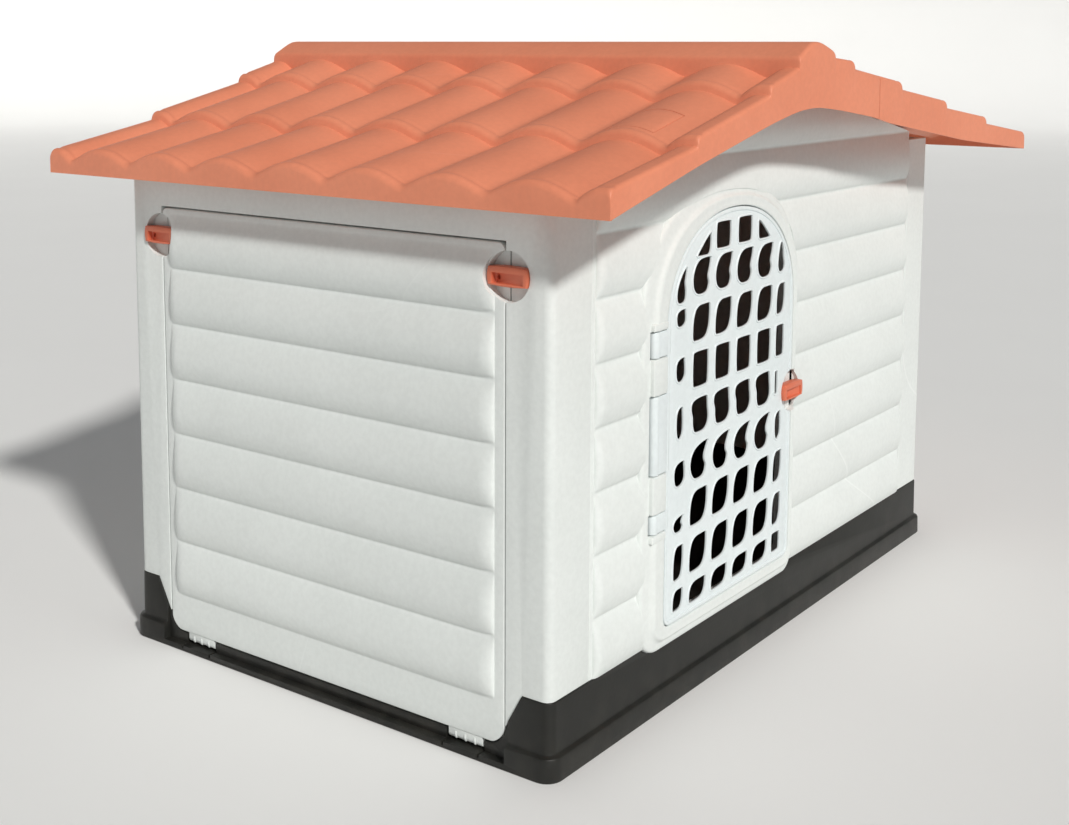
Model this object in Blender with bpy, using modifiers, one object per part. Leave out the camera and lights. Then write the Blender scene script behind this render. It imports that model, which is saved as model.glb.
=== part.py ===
# Outdoor plastic pet kennel: lap-sided walls on a black tray, two-part tiled roof,
# arched grille door on one gable, fold-down panel under the short eave.
# Frame: metres, +Z up, origin under the middle of the whole object, ridge along Y,
# the door gable faces -Y and the fold-down panel faces -X.
import bpy
import bmesh
import math
from mathutils import Matrix, Vector

# ------------------------------------------------------------------ dimensions
WX = -0.052            # middle of the walls along X (the eaves are unequal)
HALF_L = 0.480         # half length of the walls along X
HALF_D = 0.313         # half depth of the walls along Y
WALL_T = 0.010         # wall sheet
GAP = 0.0003           # gap between touching pieces
CLR = 0.0008           # running clearance

BASE_TOP = 0.0810
BASE_LIP = 0.0211      # low front edge under the fold-down panel
SKIRT_H = 0.026
SKIRT_OUT = 0.0085
FLOOR_TOP = 0.014

BOARD = 0.0668         # lap board pitch
BOARD_Z0 = 0.0779      # lower lip of the first board on the gables
RELIEF = 0.0058        # how far the boards stand proud
CORNER_W = 0.0690      # width of the corner post on the gable side
CORNER_R = 0.010

EAVE_L = 0.525         # roof reach from the wall middle, short slope
EAVE_R = 0.629         # and long slope
ROOF_Y = 0.408         # half length of the roof along the ridge
RIDGE_X = -0.104
RIDGE_Z = 0.739
RIDGE_HALF = 0.045
ROOF_T = 0.004
TILE_P = 0.1056        # width of one tile column
TILE_A = 0.0150        # height of a tile barrel
STEP = 0.009           # drop from one row of tiles to the next
SPLIT_X = 0.070        # joint between the two roof shells
LEFT_LIPS = ((-0.217, 0.694), (-0.369, 0.648), (-0.525, 0.608))
RIGHT_LIPS = ((-0.004, 0.7195), (0.141, 0.6925), (0.298, 0.6645), (0.456, 0.6375), (0.629, 0.6085))
FASCIA = ((-0.525, 0.577), (-0.369, 0.616), (-0.213, 0.651), (-0.150, 0.6625), (-0.104, 0.6655),
          (-0.045, 0.6605), (0.061, 0.648), (0.100, 0.640), (0.363, 0.606), (0.629, 0.580))

DOOR_CX = -0.129       # door leaf
DOOR_HALF = 0.150
DOOR_BOT = 0.097
DOOR_TOP = 0.550
DOOR_RISE = 0.127
DOOR_FACE = -0.3240
DOOR_T = 0.008
CASE_FACE = -0.3245    # raised casing round the doorway
CASE_CX, CASE_HALF = -0.141, 0.181
CASE_BOT, CASE_TOP, CASE_RISE = 0.0712, 0.577, 0.130
HINGE_X, HINGE_Y = -0.300, -0.3190
KNUCKLE_R = 0.0064
KNUCKLES = ((0.4025, 0.4305), (0.2740, 0.3605), (0.2090, 0.2300))
ROD_R = 0.0024

PANEL_HALF = 0.2560
PANEL_BOT, PANEL_TOP = 0.0214, 0.5402
PANEL_IN = 0.0120      # panel sheet
PANEL_AX = 0.0065      # hinge axis behind the wall face
PANEL_AZ = 0.0150
LUG_Y0, LUG_Y1 = 0.1820, 0.2270

DISH_R = 0.026
DISH_D = 0.0090        # the knobs turn in round dishes
DISH_FLOOR = 0.0030
KNOB_R, KNOB_W, KNOB_H = 0.0252, 0.0215, 0.0122
SPINDLE_R = 0.0030
LATCH_Y, LATCH_Z = 0.2607, 0.5070
DLATCH_X, DLATCH_Z = 0.0225, 0.3070

XL = WX - HALF_L       # outer faces of the walls
XR = WX + HALF_L

# ------------------------------------------------------------------ set-up
for ob in list(bpy.data.objects):
    bpy.data.objects.remove(ob, do_unlink=True)
for me in list(bpy.data.meshes):
    bpy.data.meshes.remove(me)

scene = bpy.context.scene
COL = bpy.data.collections.new("pet_kennel")
CUT = bpy.data.collections.new("cutters")
scene.collection.children.link(COL)
scene.collection.children.link(CUT)


def material(name, rgb, rough, metal=0.0):
    m = bpy.data.materials.new(name)
    m.use_nodes = True
    b = m.node_tree.nodes["Principled BSDF"]
    b.inputs["Base Color"].default_value = (rgb[0], rgb[1], rgb[2], 1.0)
    b.inputs["Roughness"].default_value = rough
    b.inputs["Metallic"].default_value = metal
    m.diffuse_color = (rgb[0], rgb[1], rgb[2], 1.0)
    return m


WHITE = material("white_plastic", (0.78, 0.81, 0.79), 0.42)
GRILLE = material("grille_plastic", (0.82, 0.86, 0.86), 0.40)
TERRA = material("terracotta_plastic", (0.78, 0.27, 0.17), 0.45)
BLACK = material("black_plastic", (0.022, 0.022, 0.019), 0.38)
STEEL = material("zinc_steel", (0.60, 0.60, 0.58), 0.35, 1.0)


def add(name, mesh, mat, col=COL):
    ob = bpy.data.objects.new(name, mesh)
    col.objects.link(ob)
    if mat is not None:
        mesh.materials.clear()
        mesh.materials.append(mat)
    if col is CUT:
        ob.hide_render = True
        ob.display_type = 'WIRE'
    return ob


def box_mesh(name, lo, hi, bevel=0.0):
    bm = bmesh.new()
    bmesh.ops.create_cube(bm, size=1.0)
    lo, hi = Vector(lo), Vector(hi)
    for v in bm.verts:
        v.co = Vector([lo[i] + (v.co[i] + 0.5) * (hi[i] - lo[i]) for i in range(3)])
    if bevel > 0:
        bmesh.ops.bevel(bm, geom=list(bm.edges), offset=bevel, segments=1, affect='EDGES')
    me = bpy.data.meshes.new(name)
    bm.to_mesh(me)
    bm.free()
    return me


def rod_mesh(name, p0, p1, r, seg=16, r2=None):
    p0, p1 = Vector(p0), Vector(p1)
    d = p1 - p0
    bm = bmesh.new()
    bmesh.ops.create_cone(bm, cap_ends=True, segments=seg, radius1=r,
                          radius2=r if r2 is None else r2, depth=d.length)
    rot = Vector((0, 0, 1)).rotation_difference(d.normalized()).to_matrix().to_4x4()
    bm.transform(Matrix.Translation((p0 + p1) / 2) @ rot)
    me = bpy.data.meshes.new(name)
    bm.to_mesh(me)
    bm.free()
    return me


def plate_mesh(name, loops, a, b, plane):
    """Flat outline with holes; loops hold points in the plane, the thickness runs from a to b."""
    cu = bpy.data.curves.new(name, 'CURVE')
    cu.dimensions = '2D'
    cu.fill_mode = 'BOTH'
    cu.extrude = abs(b - a) / 2
    for lp in loops:
        sp = cu.splines.new('POLY')
        sp.points.add(len(lp) - 1)
        for p, q in zip(sp.points, lp):
            p.co = (q[0], q[1], 0, 1)
        sp.use_cyclic_u = True
    tmp = bpy.data.objects.new(name + "_curve", cu)
    scene.collection.objects.link(tmp)
    dg = bpy.context.evaluated_depsgraph_get()
    me = bpy.data.meshes.new_from_object(tmp.evaluated_get(dg))
    bpy.data.objects.remove(tmp, do_unlink=True)
    mid = (a + b) / 2
    if plane == 'XZ':      # (u, v) -> (X, Z), thickness along Y
        M = Matrix(((1, 0, 0, 0), (0, 0, 1, mid), (0, 1, 0, 0), (0, 0, 0, 1)))
    elif plane == 'YZ':    # (u, v) -> (Y, Z), thickness along X
        M = Matrix(((0, 0, 1, mid), (1, 0, 0, 0), (0, 1, 0, 0), (0, 0, 0, 1)))
    else:                  # (u, v) -> (X, Y), thickness along Z
        M = Matrix(((1, 0, 0, 0), (0, 1, 0, 0), (0, 0, 1, mid), (0, 0, 0, 1)))
    bm = bmesh.new()
    bm.from_mesh(me)
    bm.transform(M)
    bmesh.ops.remove_doubles(bm, verts=bm.verts, dist=0.00001)
    bmesh.ops.recalc_face_normals(bm, faces=bm.faces)
    bm.to_mesh(me)
    bm.free()
    me.name = name
    return me


def boolean(ob, cutter, op='DIFFERENCE'):
    m = ob.modifiers.new("b%02d" % len(ob.modifiers), 'BOOLEAN')
    m.operation = op
    m.solver = 'EXACT'
    m.object = cutter
    return m


def cut_with(obs, name, mesh, op='DIFFERENCE'):
    c = add("cut_" + name, mesh, None, CUT)
    for ob in (obs if isinstance(obs, (list, tuple)) else [obs]):
        boolean(ob, c, op)
    return c


def rounded(points, n=4):
    """Closed outline; each item is (u, v, radius of the corner there)."""
    out = []
    m = len(points)
    for i in range(m):
        u, v, r = points[i]
        if r <= 0:
            out.append((u, v))
            continue
        p = Vector((u, v))
        a = (Vector(points[i - 1][:2]) - p).normalized()
        b = (Vector(points[(i + 1) % m][:2]) - p).normalized()
        half = a.angle(b) / 2
        t = r / math.tan(half)
        c = p + (a + b).normalized() * (r / math.sin(half))
        s, e = p + a * t - c, p + b * t - c
        ang0 = math.atan2(s.y, s.x)
        da = (math.atan2(e.y, e.x) - ang0 + math.pi) % (2 * math.pi) - math.pi
        for k in range(n + 1):
            w = ang0 + da * k / n
            out.append((c.x + r * math.cos(w), c.y + r * math.sin(w)))
    return out


def arch(cx, half, bottom, top, rise, corner, power, n=20):
    """Doorway outline: round lower corners and a flattened arch at the top."""
    pts = []
    left, right = cx - half, cx + half
    rl, rr = corner
    for k in range(5):
        a = math.pi + math.pi / 2 * k / 4
        pts.append((left + rl + rl * math.cos(a), bottom + rl + rl * math.sin(a)))
    for k in range(5):
        a = 1.5 * math.pi + math.pi / 2 * k / 4
        pts.append((right - rr + rr * math.cos(a), bottom + rr + rr * math.sin(a)))
    for k in range(n + 1):
        a = math.pi * k / n
        c, s = math.cos(a), math.sin(a)
        pts.append((cx + half * math.copysign(abs(c) ** (2 / power), c),
                    top - rise + rise * abs(s) ** (2 / power)))
    return pts


def board_profile(z0, z1, first, face, inner, sign):
    """Cross-section of a lap-sided sheet: (depth, z) points; boards lean out towards their lower lip."""
    pts = [(inner, z0), (face, z0)]
    z = first
    while z < z1 - 0.004:
        for t, p in ((0.0, 0.80), (0.28, 1.0), (0.68, 0.62), (0.985, 0.10)):
            zz = z + t * BOARD
            if z0 + 0.001 < zz < z1 - 0.001:
                pts.append((face + sign * p * RELIEF, zz))
        z += BOARD
    pts += [(face, z1), (inner, z1)]
    return pts


def roof_under(x):
    """Height that the wall tops keep under the roof, by distance from the wall middle."""
    low = [(-0.60, 0.593), (-0.525, 0.608)] + [(a, b - STEP) for a, b in ((-0.369, 0.648), (-0.217, 0.694))]
    low += [(-0.149, 0.711), (RIDGE_X, 0.716), (-0.058, 0.7145)]
    low += [(a, b - STEP) for a, b in RIGHT_LIPS[:-1]] + [(0.70, 0.597)]
    for (x0, z0), (x1, z1) in zip(low, low[1:]):
        if x0 <= x <= x1:
            return z0 + (z1 - z0) * (x - x0) / (x1 - x0) - TILE_A - ROOF_T - (0.0028 if x < 0 else 0.0055)
    return 0.56


# ------------------------------------------------------------------ base tray
base = add("base_tray", box_mesh("base_tray", (XL - 0.0015, -HALF_D - 0.0015, 0),
                                 (XR + 0.0015, HALF_D + 0.0015, BASE_TOP)), BLACK)
cut_with(base, "base_skirt", box_mesh("skirt", (XL - SKIRT_OUT, -HALF_D - SKIRT_OUT, 0),
                                      (XR + SKIRT_OUT, HALF_D + SKIRT_OUT, SKIRT_H), 0.0015), 'UNION')
cut_with(base, "base_inside", box_mesh("inside", (XL + 0.020, -HALF_D + 0.0115, FLOOR_TOP),
                                       (XR - 0.0115, HALF_D - 0.0115, 0.2)))
cut_with(base, "base_under", box_mesh("under", (XL + 0.030, -HALF_D + 0.020, -0.01),
                                      (XR - 0.020, HALF_D - 0.020, 0.006)))
# low front edge with risers whose slopes follow the lower corners of the panel
half_mouth = [(0.2330, BASE_LIP), (0.2440, 0.0228), (0.2500, 0.0272), (0.2540, 0.0330), (0.2568, 0.0405), (0.2790, 0.0812), (0.2790, 0.20)]
mouth = half_mouth + [(-u, v) for u, v in reversed(half_mouth)]
cut_with(base, "base_mouth", plate_mesh("mouth", [mouth], XL - 0.05, XL + 0.0195, 'YZ'))
cut_with(base, "base_front", box_mesh("front", (XL - 0.05, -0.262, 0.0072), (XL + 0.0015, 0.262, 0.2)))
# the lip is rounded about the hinge axis, so that the foot of the panel can swing over it
swing = [(-u, v) for u, v in reversed(half_mouth[:5])] + half_mouth[:5]
verts, faces, m = [], [], 12
for u, v in swing:
    reach = v - PANEL_AZ - 0.0003
    sect = [(reach * math.cos(math.pi / 2 * (1 + k / 8)), reach * math.sin(math.pi / 2 * (1 + k / 8))) for k in range(9)]
    sect += [(-0.050, 0.0), (-0.050, 0.060), (0.0, 0.060)]
    verts += [(XL + PANEL_AX + a, u, PANEL_AZ + b) for a, b in sect]
for i in range(len(swing) - 1):
    faces += [(i * m + k, i * m + (k + 1) % m, (i + 1) * m + (k + 1) % m, (i + 1) * m + k) for k in range(m)]
faces += [tuple(range(m)), tuple((len(swing) - 1) * m + k for k in range(m))]
me = bpy.data.meshes.new("swing")
me.from_pydata(verts, [], faces)
bm = bmesh.new()
bm.from_mesh(me)
bmesh.ops.recalc_face_normals(bm, faces=bm.faces)
bm.to_mesh(me)
bm.free()
cut_with(base, "base_swing", me)
for s, tag in ((-1, "f"), (1, "r")):
    y0, y1 = sorted((s * (LUG_Y0 - 0.0025), s * (LUG_Y1 + 0.0025)))
    cut_with(base, "base_notch_" + tag, box_mesh("notch", (XL - 0.05, y0, 0.0075), (XL + 0.0135, y1, 0.2)))
    cut_with(base, "base_bore_" + tag, rod_mesh("bore", (XL + PANEL_AX, y0 - 0.0078, PANEL_AZ),
                                                (XL + PANEL_AX, y1 + 0.0078, PANEL_AZ), 0.0024, 12))
    for yy in (y0 - 0.0001, y1 - 0.0024):
        cut_with(base, "base_slit_%s%d" % (tag, int(yy * 1e4)),
                 box_mesh("slit", (XL - 0.05, yy, 0.0035), (XL + 0.0035, yy + 0.0025, 0.0080)))
CASE_OUT = arch(WX + CASE_CX, CASE_HALF, CASE_BOT, CASE_TOP, CASE_RISE, (0.035, 0.022), 2.3)
CASE_CLR = arch(WX + CASE_CX, CASE_HALF + 0.0005, CASE_BOT - 0.0005, CASE_TOP, CASE_RISE,
                (0.0355, 0.0225), 2.3)
cut_with(base, "base_doorstep", plate_mesh("doorstep", [CASE_CLR], -HALF_D - 0.03, -HALF_D + 0.02, 'XZ'))

# ------------------------------------------------------------------ gable walls
GX0, GX1 = XL + CORNER_W + GAP / 2, XR - CORNER_W - 0.003
top_line = [(x, roof_under(x - WX)) for x in (GX0 - 0.02, WX - 0.369, WX - 0.217, WX - 0.149, WX + RIDGE_X, WX - 0.058,
                                              WX - 0.004, WX + 0.141, WX + 0.298, GX1 + 0.02)]
above = [(GX1 + 0.02, 0.9), (GX0 - 0.02, 0.9)] + top_line


def gable(name, sgn):
    face, inner = sgn * HALF_D, sgn * (HALF_D - WALL_T)
    prof = board_profile(BASE_TOP + GAP, 0.715, BOARD_Z0, face, inner, sgn)
    me = plate_mesh(name, [prof], GX0, GX1, 'YZ')
    ob = add(name, me, WHITE)
    cut_with(ob, name + "_top", plate_mesh("top", [above], sgn * 0.28, sgn * 0.34, 'XZ'))
    return ob


front = gable("gable_wall_front", -1)
rear = gable("gable_wall_rear", 1)
cut_with(front, "casing", plate_mesh("casing", [CASE_OUT], CASE_FACE, -HALF_D + WALL_T - 0.00005, 'XZ'), 'UNION')
OPENING = arch(WX + DOOR_CX, DOOR_HALF + 0.0012, DOOR_BOT - 0.0012, DOOR_TOP + 0.0012, DOOR_RISE,
               (0.0122, 0.0122), 2.15)
cut_with(front, "doorway", plate_mesh("doorway", [OPENING], -0.36, -0.28, 'XZ'))
for k, (z0, z1) in enumerate(KNUCKLES):
    cut_with(front, "knuckle_well%d" % k, box_mesh("well", (WX + HINGE_X - 0.0095, -0.36, z0 - 0.0010),
                                                   (WX + DOOR_CX - DOOR_HALF + 0.004, -0.3112, z1 + 0.0010)))
cut_with(front, "rod_bore", rod_mesh("rodbore", (WX + HINGE_X, HINGE_Y, KNUCKLES[2][0] - 0.0125),
                                     (WX + HINGE_X, HINGE_Y, KNUCKLES[0][1] + 0.0125), ROD_R + 0.0004, 12))

# ------------------------------------------------------------------ side frame (panel side)


def corner_post(name, sx, sy, z0, z1, y_in, width):
    """L-shaped corner post with a round outer edge and a lap flange behind the gable wall."""
    xo = XL if sx < 0 else XR
    yo = sy * HALF_D
    ix, iy = -sx, -sy
    arc = []
    for k in range(6):
        a = math.pi / 2 * k / 5
        arc.append((xo + ix * CORNER_R * (1 - math.cos(a)), yo + iy * CORNER_R * (1 - math.sin(a))))
    pts = [(xo, sy * y_in)] + arc
    pts += [(xo + ix * width, yo), (xo + ix * width, yo + iy * WALL_T),
            (xo + ix * width, yo + iy * (WALL_T + GAP)), (xo + ix * (width + 0.022), yo + iy * (WALL_T + GAP)),
            (xo + ix * (width + 0.022), yo + iy * (WALL_T + 0.0043)), (xo + ix * WALL_T, yo + iy * (WALL_T + 0.0043)),
            (xo + ix * WALL_T, sy * y_in)]
    clean = [pts[0]]
    for p in pts[1:]:
        if math.dist(p, clean[-1]) > 1e-6:
            clean.append(p)
    return plate_mesh(name, [clean], z0, z1, 'XY')


SIDE_TOP = 0.5980
SIDE_TOP_R = 0.6000
RAIL_Z = PANEL_TOP + 0.0020
side = add("side_frame_left", box_mesh("side_frame_left", (XL, -HALF_D + 0.02, RAIL_Z),
                                       (XL + WALL_T, HALF_D - 0.02, SIDE_TOP)), WHITE)
for s, tag in ((-1, "f"), (1, "r")):
    cut_with(side, "post_" + tag, corner_post("post", -1, s, BASE_TOP + GAP - 0.050, SIDE_TOP, PANEL_HALF + 0.0016, CORNER_W), 'UNION')
# the post feet stand on the risers of the tray
foot = [(-0.40, 0.0), (-0.40, BASE_TOP + GAP), (-0.2786, BASE_TOP + GAP), (-0.2560, 0.0398), (-0.2560, 0.0)]
for s, tag in ((1, "f"), (-1, "r")):
    lp = [(s * a, b) for a, b in foot]
    cut_with(side, "foot_" + tag, plate_mesh("foot", [lp], XL - 0.02, XL + 0.024, 'YZ'))
    y0, y1 = sorted((-s * 0.27, -s * 0.36))
    cut_with(side, "foot2_" + tag, box_mesh("foot2", (XL + 0.020, y0, 0.0), (XL + 0.12, y1, BASE_TOP + GAP)))
    boss = rod_mesh("boss", (XL + 0.004, -s * LATCH_Y, LATCH_Z), (XL + DISH_D + DISH_FLOOR, -s * LATCH_Y, LATCH_Z), DISH_R + 0.0025, 28)
    cut_with(side, "boss_" + tag, boss, 'UNION')
    y0, y1 = sorted((-s * 0.20, -s * (PANEL_HALF + 0.0016)))
    cut_with(side, "bosscut_" + tag, box_mesh("bosscut", (XL - 0.02, y0, LATCH_Z - 0.031), (XL + 0.04, y1, LATCH_Z + 0.031)))
    cut_with(side, "tabwell_" + tag, box_mesh("tabwell", (XL - 0.02, min(-s * 0.25, -s * (LATCH_Y + 0.0098)), LATCH_Z - 0.0082),
                                              (XL + 0.03, max(-s * 0.25, -s * (LATCH_Y + 0.0098)), LATCH_Z + 0.0082)))
    cut_with(side, "dish_" + tag, rod_mesh("dish", (XL - 0.02, -s * LATCH_Y, LATCH_Z), (XL + DISH_D, -s * LATCH_Y, LATCH_Z), DISH_R, 28))

# ------------------------------------------------------------------ side wall (long eave side)
sw = add("side_wall_right", plate_mesh("side_wall_right", [board_profile(BASE_TOP + GAP, SIDE_TOP_R, BOARD_Z0, XR, XR - WALL_T, 1)],
                                       -HALF_D + 0.060, HALF_D - 0.060, 'XZ'), WHITE)
for s, tag in ((-1, "f"), (1, "r")):
    cut_with(sw, "rpost_" + tag, corner_post("rpost", 1, s, BASE_TOP + GAP, SIDE_TOP_R, HALF_D - 0.0605, CORNER_W + 0.003 - GAP / 2), 'UNION')

# ------------------------------------------------------------------ fold-down panel
PANEL = rounded([(-PANEL_HALF, PANEL_BOT, 0.022), (PANEL_HALF, PANEL_BOT, 0.022),
                 (PANEL_HALF, PANEL_TOP, 0.009), (-PANEL_HALF, PANEL_TOP, 0.009)], 5)
panel = add("fold_down_panel", plate_mesh("fold_down_panel", [PANEL], XL, XL + PANEL_IN, 'YZ'), WHITE)
pprof = board_profile(0.0682, 0.5330, 0.0682, XL, XL + 0.004, -1)
cut_with(panel, "panel_boards", plate_mesh("pboards", [pprof], -0.2256, 0.2256, 'XZ'), 'UNION')
for s, tag in ((-1, "f"), (1, "r")):
    y0, y1 = sorted((s * LUG_Y0, s * LUG_Y1))
    cut_with(panel, "lug_" + tag, box_mesh("lug", (XL + PANEL_AX - 0.0055, y0, PANEL_AZ), (XL + PANEL_AX + 0.0055, y1, PANEL_BOT + 0.006)), 'UNION')
    cut_with(panel, "lugr_" + tag, rod_mesh("lugr", (XL + PANEL_AX, y0, PANEL_AZ), (XL + PANEL_AX, y1, PANEL_AZ), 0.0055, 20), 'UNION')
    cut_with(panel, "lugb_" + tag, rod_mesh("lugb", (XL + PANEL_AX, y0 - 0.01, PANEL_AZ), (XL + PANEL_AX, y1 + 0.01, PANEL_AZ), 0.0024, 12))
    y0, y1 = sorted((s * (PANEL_HALF - 0.01), s * (LATCH_Y + 0.0088)))
    cut_with(panel, "tab_" + tag, box_mesh("tab", (XL, y0, LATCH_Z - 0.0072), (XL + PANEL_IN, y1, LATCH_Z + 0.0072)), 'UNION')
    cut_with(panel, "pdish_" + tag, rod_mesh("pdish", (XL - 0.02, s * LATCH_Y, LATCH_Z), (XL + DISH_D, s * LATCH_Y, LATCH_Z), DISH_R, 28))
    cut_with(panel, "phole_" + tag, rod_mesh("phole", (XL - 0.02, s * LATCH_Y, LATCH_Z), (XL + 0.03, s * LATCH_Y, LATCH_Z), SPINDLE_R + 0.0005, 16))
    pin = add("panel_hinge_pin_" + ("front" if s < 0 else "rear"),
              rod_mesh("pin", (XL + PANEL_AX, s * (LUG_Y0 - 0.0100), PANEL_AZ), (XL + PANEL_AX, s * (LUG_Y1 + 0.0100), PANEL_AZ), 0.0020, 12), STEEL)

# ------------------------------------------------------------------ door leaf
LEAF = arch(WX + DOOR_CX, DOOR_HALF, DOOR_BOT, DOOR_TOP, DOOR_RISE, (0.011, 0.011), 2.15)
COLS = (-0.122, -0.0785, -0.0265, 0.0240, 0.0755, 0.1190)
ROW0, ROW_P, ROWS = 0.1625, 0.0529, 7
loops = []


def slot(cx, cz, w, h, lean):
    pts = []
    for k in range(8):
        a = 2 * math.pi * (k + 0.5) / 8
        u = w / 2 * math.copysign(abs(math.cos(a)) ** 0.55, math.cos(a))
        v = h / 2 * math.copysign(abs(math.sin(a)) ** 0.55, math.sin(a))
        pts.append((cx + u + lean * v, cz + v))
    return pts


for r in range(ROWS):
    z = ROW0 + r * ROW_P
    for c, dx in enumerate(COLS):
        edge = c in (0, 5)
        w = 0.019 if edge else 0.036
        h = 0.037 if edge else 0.040
        if r == 3 and c == 5:
            continue
        if r == 6 and edge:
            h = 0.024
            z_c = z - 0.009
        else:
            z_c = z
        loops.append(slot(WX + DOOR_CX + dx, z_c, w, h, 0.12))
for c, dx in enumerate(COLS):
    loops.append(slot(WX + DOOR_CX + dx, 0.1200, 0.019 if c in (0, 5) else 0.036, 0.022, 0.05))
for dx, w, h, z in ((-0.0740, 0.024, 0.018, 0.5170), (-0.0265, 0.034, 0.028, 0.5225), (0.0240, 0.034, 0.028, 0.5225), (0.0720, 0.024, 0.018, 0.5170)):
    loops.append(slot(WX + DOOR_CX + dx, z, w, h, 0.0))
leaf = add("door_leaf", plate_mesh("door_leaf", [LEAF], DOOR_FACE, DOOR_FACE + DOOR_T, 'XZ'), GRILLE)
for k, (z0, z1) in enumerate(KNUCKLES):
    cut_with(leaf, "arm%d" % k, box_mesh("arm", (WX + HINGE_X, DOOR_FACE + 0.0002, z0), (WX + DOOR_CX - DOOR_HALF + 0.006, DOOR_FACE + DOOR_T - 0.0002, z1)), 'UNION')
    cut_with(leaf, "knuckle%d" % k, rod_mesh("knuckle", (WX + HINGE_X, HINGE_Y, z0), (WX + HINGE_X, HINGE_Y, z1), KNUCKLE_R, 16), 'UNION')
cut_with(leaf, "leaf_bore", rod_mesh("leafbore", (WX + HINGE_X, HINGE_Y, 0.19), (WX + HINGE_X, HINGE_Y, 0.45), ROD_R + 0.0004, 12))
cut_with(leaf, "grille", plate_mesh("grille", loops, DOOR_FACE - 0.01, DOOR_FACE + DOOR_T + 0.01, 'XZ'))
rod = add("door_hinge_rod", rod_mesh("rod", (WX + HINGE_X, HINGE_Y, KNUCKLES[2][0] - 0.012), (WX + HINGE_X, HINGE_Y, KNUCKLES[0][1] + 0.012), ROD_R, 12), STEEL)

# ------------------------------------------------------------------ turn latches
DL = WX + DLATCH_X
cut_with(leaf, "dboss", rod_mesh("dboss", (DL, DOOR_FACE + 0.001, DLATCH_Z), (DL, DOOR_FACE + DISH_D + DISH_FLOOR, DLATCH_Z), DISH_R + 0.0025, 28), 'UNION')
EDGE = WX + DOOR_CX + DOOR_HALF
for k, (z0, z1) in enumerate(((DLATCH_Z - 0.04, DLATCH_Z - 0.0072), (DLATCH_Z + 0.0072, DLATCH_Z + 0.04))):
    cut_with(leaf, "dedge%d" % k, box_mesh("dedge", (EDGE, -0.36, z0), (EDGE + 0.05, -0.28, z1)))
cut_with(leaf, "dtab", box_mesh("dtab", (DL + 0.0072, -0.36, DLATCH_Z - 0.02), (EDGE + 0.05, -0.28, DLATCH_Z + 0.02)))
cut_with(front, "dwell", box_mesh("dwell", (EDGE - 0.01, -0.36, DLATCH_Z - 0.0086), (DL + 0.0098, -0.28, DLATCH_Z + 0.0086)))
cut_with([front, leaf], "ddish", rod_mesh("ddish", (DL, -0.36, DLATCH_Z), (DL, DOOR_FACE + DISH_D, DLATCH_Z), DISH_R, 28))
cut_with(leaf, "dhole", rod_mesh("dhole", (DL, -0.36, DLATCH_Z), (DL, -0.30, DLATCH_Z), SPINDLE_R + 0.0005, 16))


def latch(prefix, centre, out, along, plate):
    """Knob with its spindle, and the washer and screw that hold it from inside.
    centre is on the floor of the dish; out points away from the wall; along is the knob's long
    direction; plate is the thickness of the dish floor."""
    out, along = Vector(out), Vector(along)
    up = out.cross(along)
    M = Matrix((along, up, out)).transposed().to_4x4()
    M.translation = Vector(centre)

    def place(me):
        me.transform(M)
        return me
    body = []
    lim = math.asin(KNOB_W / 2 / KNOB_R)
    for side_a in (0.0, math.pi):
        for k in range(5):
            a = side_a - lim + 2 * lim * k / 4
            body.append((KNOB_R * math.cos(a), KNOB_R * math.sin(a)))
    knob = add(prefix + "_knob", place(plate_mesh("k", [body], 0.0006, KNOB_H, 'XY')), TERRA)
    # one half of the grip is scooped out for a finger
    cut_with(knob, prefix + "_scoop", place(box_mesh("s", (-0.0190, -KNOB_W / 2 + 0.0030, 0.0060), (0.0200, KNOB_W / 2 - 0.0070, 0.03), 0.0015)))
    cut_with(knob, prefix + "_spindle", place(rod_mesh("p", (0, 0, 0.002), (0, 0, -plate - 0.0008), SPINDLE_R, 16)), 'UNION')
    cut_with(knob, prefix + "_pilot", place(rod_mesh("q", (0, 0, 0.004), (0, 0, -plate - 0.02), 0.0016, 12)))
    w = add(prefix + "_washer", place(rod_mesh("w", (0, 0, -plate - 0.0011), (0, 0, -plate - 0.0023), 0.0060, 20)), STEEL)
    cut_with(w, prefix + "_washer_hole", place(rod_mesh("h", (0, 0, 0), (0, 0, -plate - 0.02), 0.0016, 12)))
    s = add(prefix + "_screw", place(rod_mesh("v", (0, 0, -plate - 0.0026), (0, 0, -plate - 0.0048), 0.0032, 16, 0.0024)), STEEL)
    cut_with(s, prefix + "_shank", place(rod_mesh("t", (0, 0, 0.0034), (0, 0, -plate - 0.0036), 0.0012, 12)), 'UNION')


latch("panel_latch_front", (XL + DISH_D, -LATCH_Y, LATCH_Z), (-1, 0, 0), (0, -1, 0), DISH_FLOOR)
latch("panel_latch_rear", (XL + DISH_D, LATCH_Y, LATCH_Z), (-1, 0, 0), (0, 1, 0), DISH_FLOOR)
latch("door_latch", (DL, DOOR_FACE + DISH_D, DLATCH_Z), (0, -1, 0), (1, 0, 0), DISH_FLOOR)

# ------------------------------------------------------------------ roof


def barrel(y):
    w = abs(math.cos(math.pi * y / TILE_P))
    e = 0.14
    return (math.sqrt(w * w + e * e) - e) / (math.sqrt(1 + e * e) - e)


def y_stations(per=6):
    n = 7
    half = n * TILE_P / 2
    ys = [-ROOF_Y, -ROOF_Y + 0.010]
    for k in range(n * per + 1):
        ys.append(-half + TILE_P * k / per)
    ys += [ROOF_Y - 0.010, ROOF_Y]
    return ys


def edge_z(y, valley):
    """Rake edges end in a raised roll."""
    over = abs(y) - 3.5 * TILE_P
    if over <= 0:
        return valley + TILE_A * barrel(y)
    return valley + TILE_A * min(1.0, over / (ROOF_Y - 0.006 - 3.5 * TILE_P)) * 0.80


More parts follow.
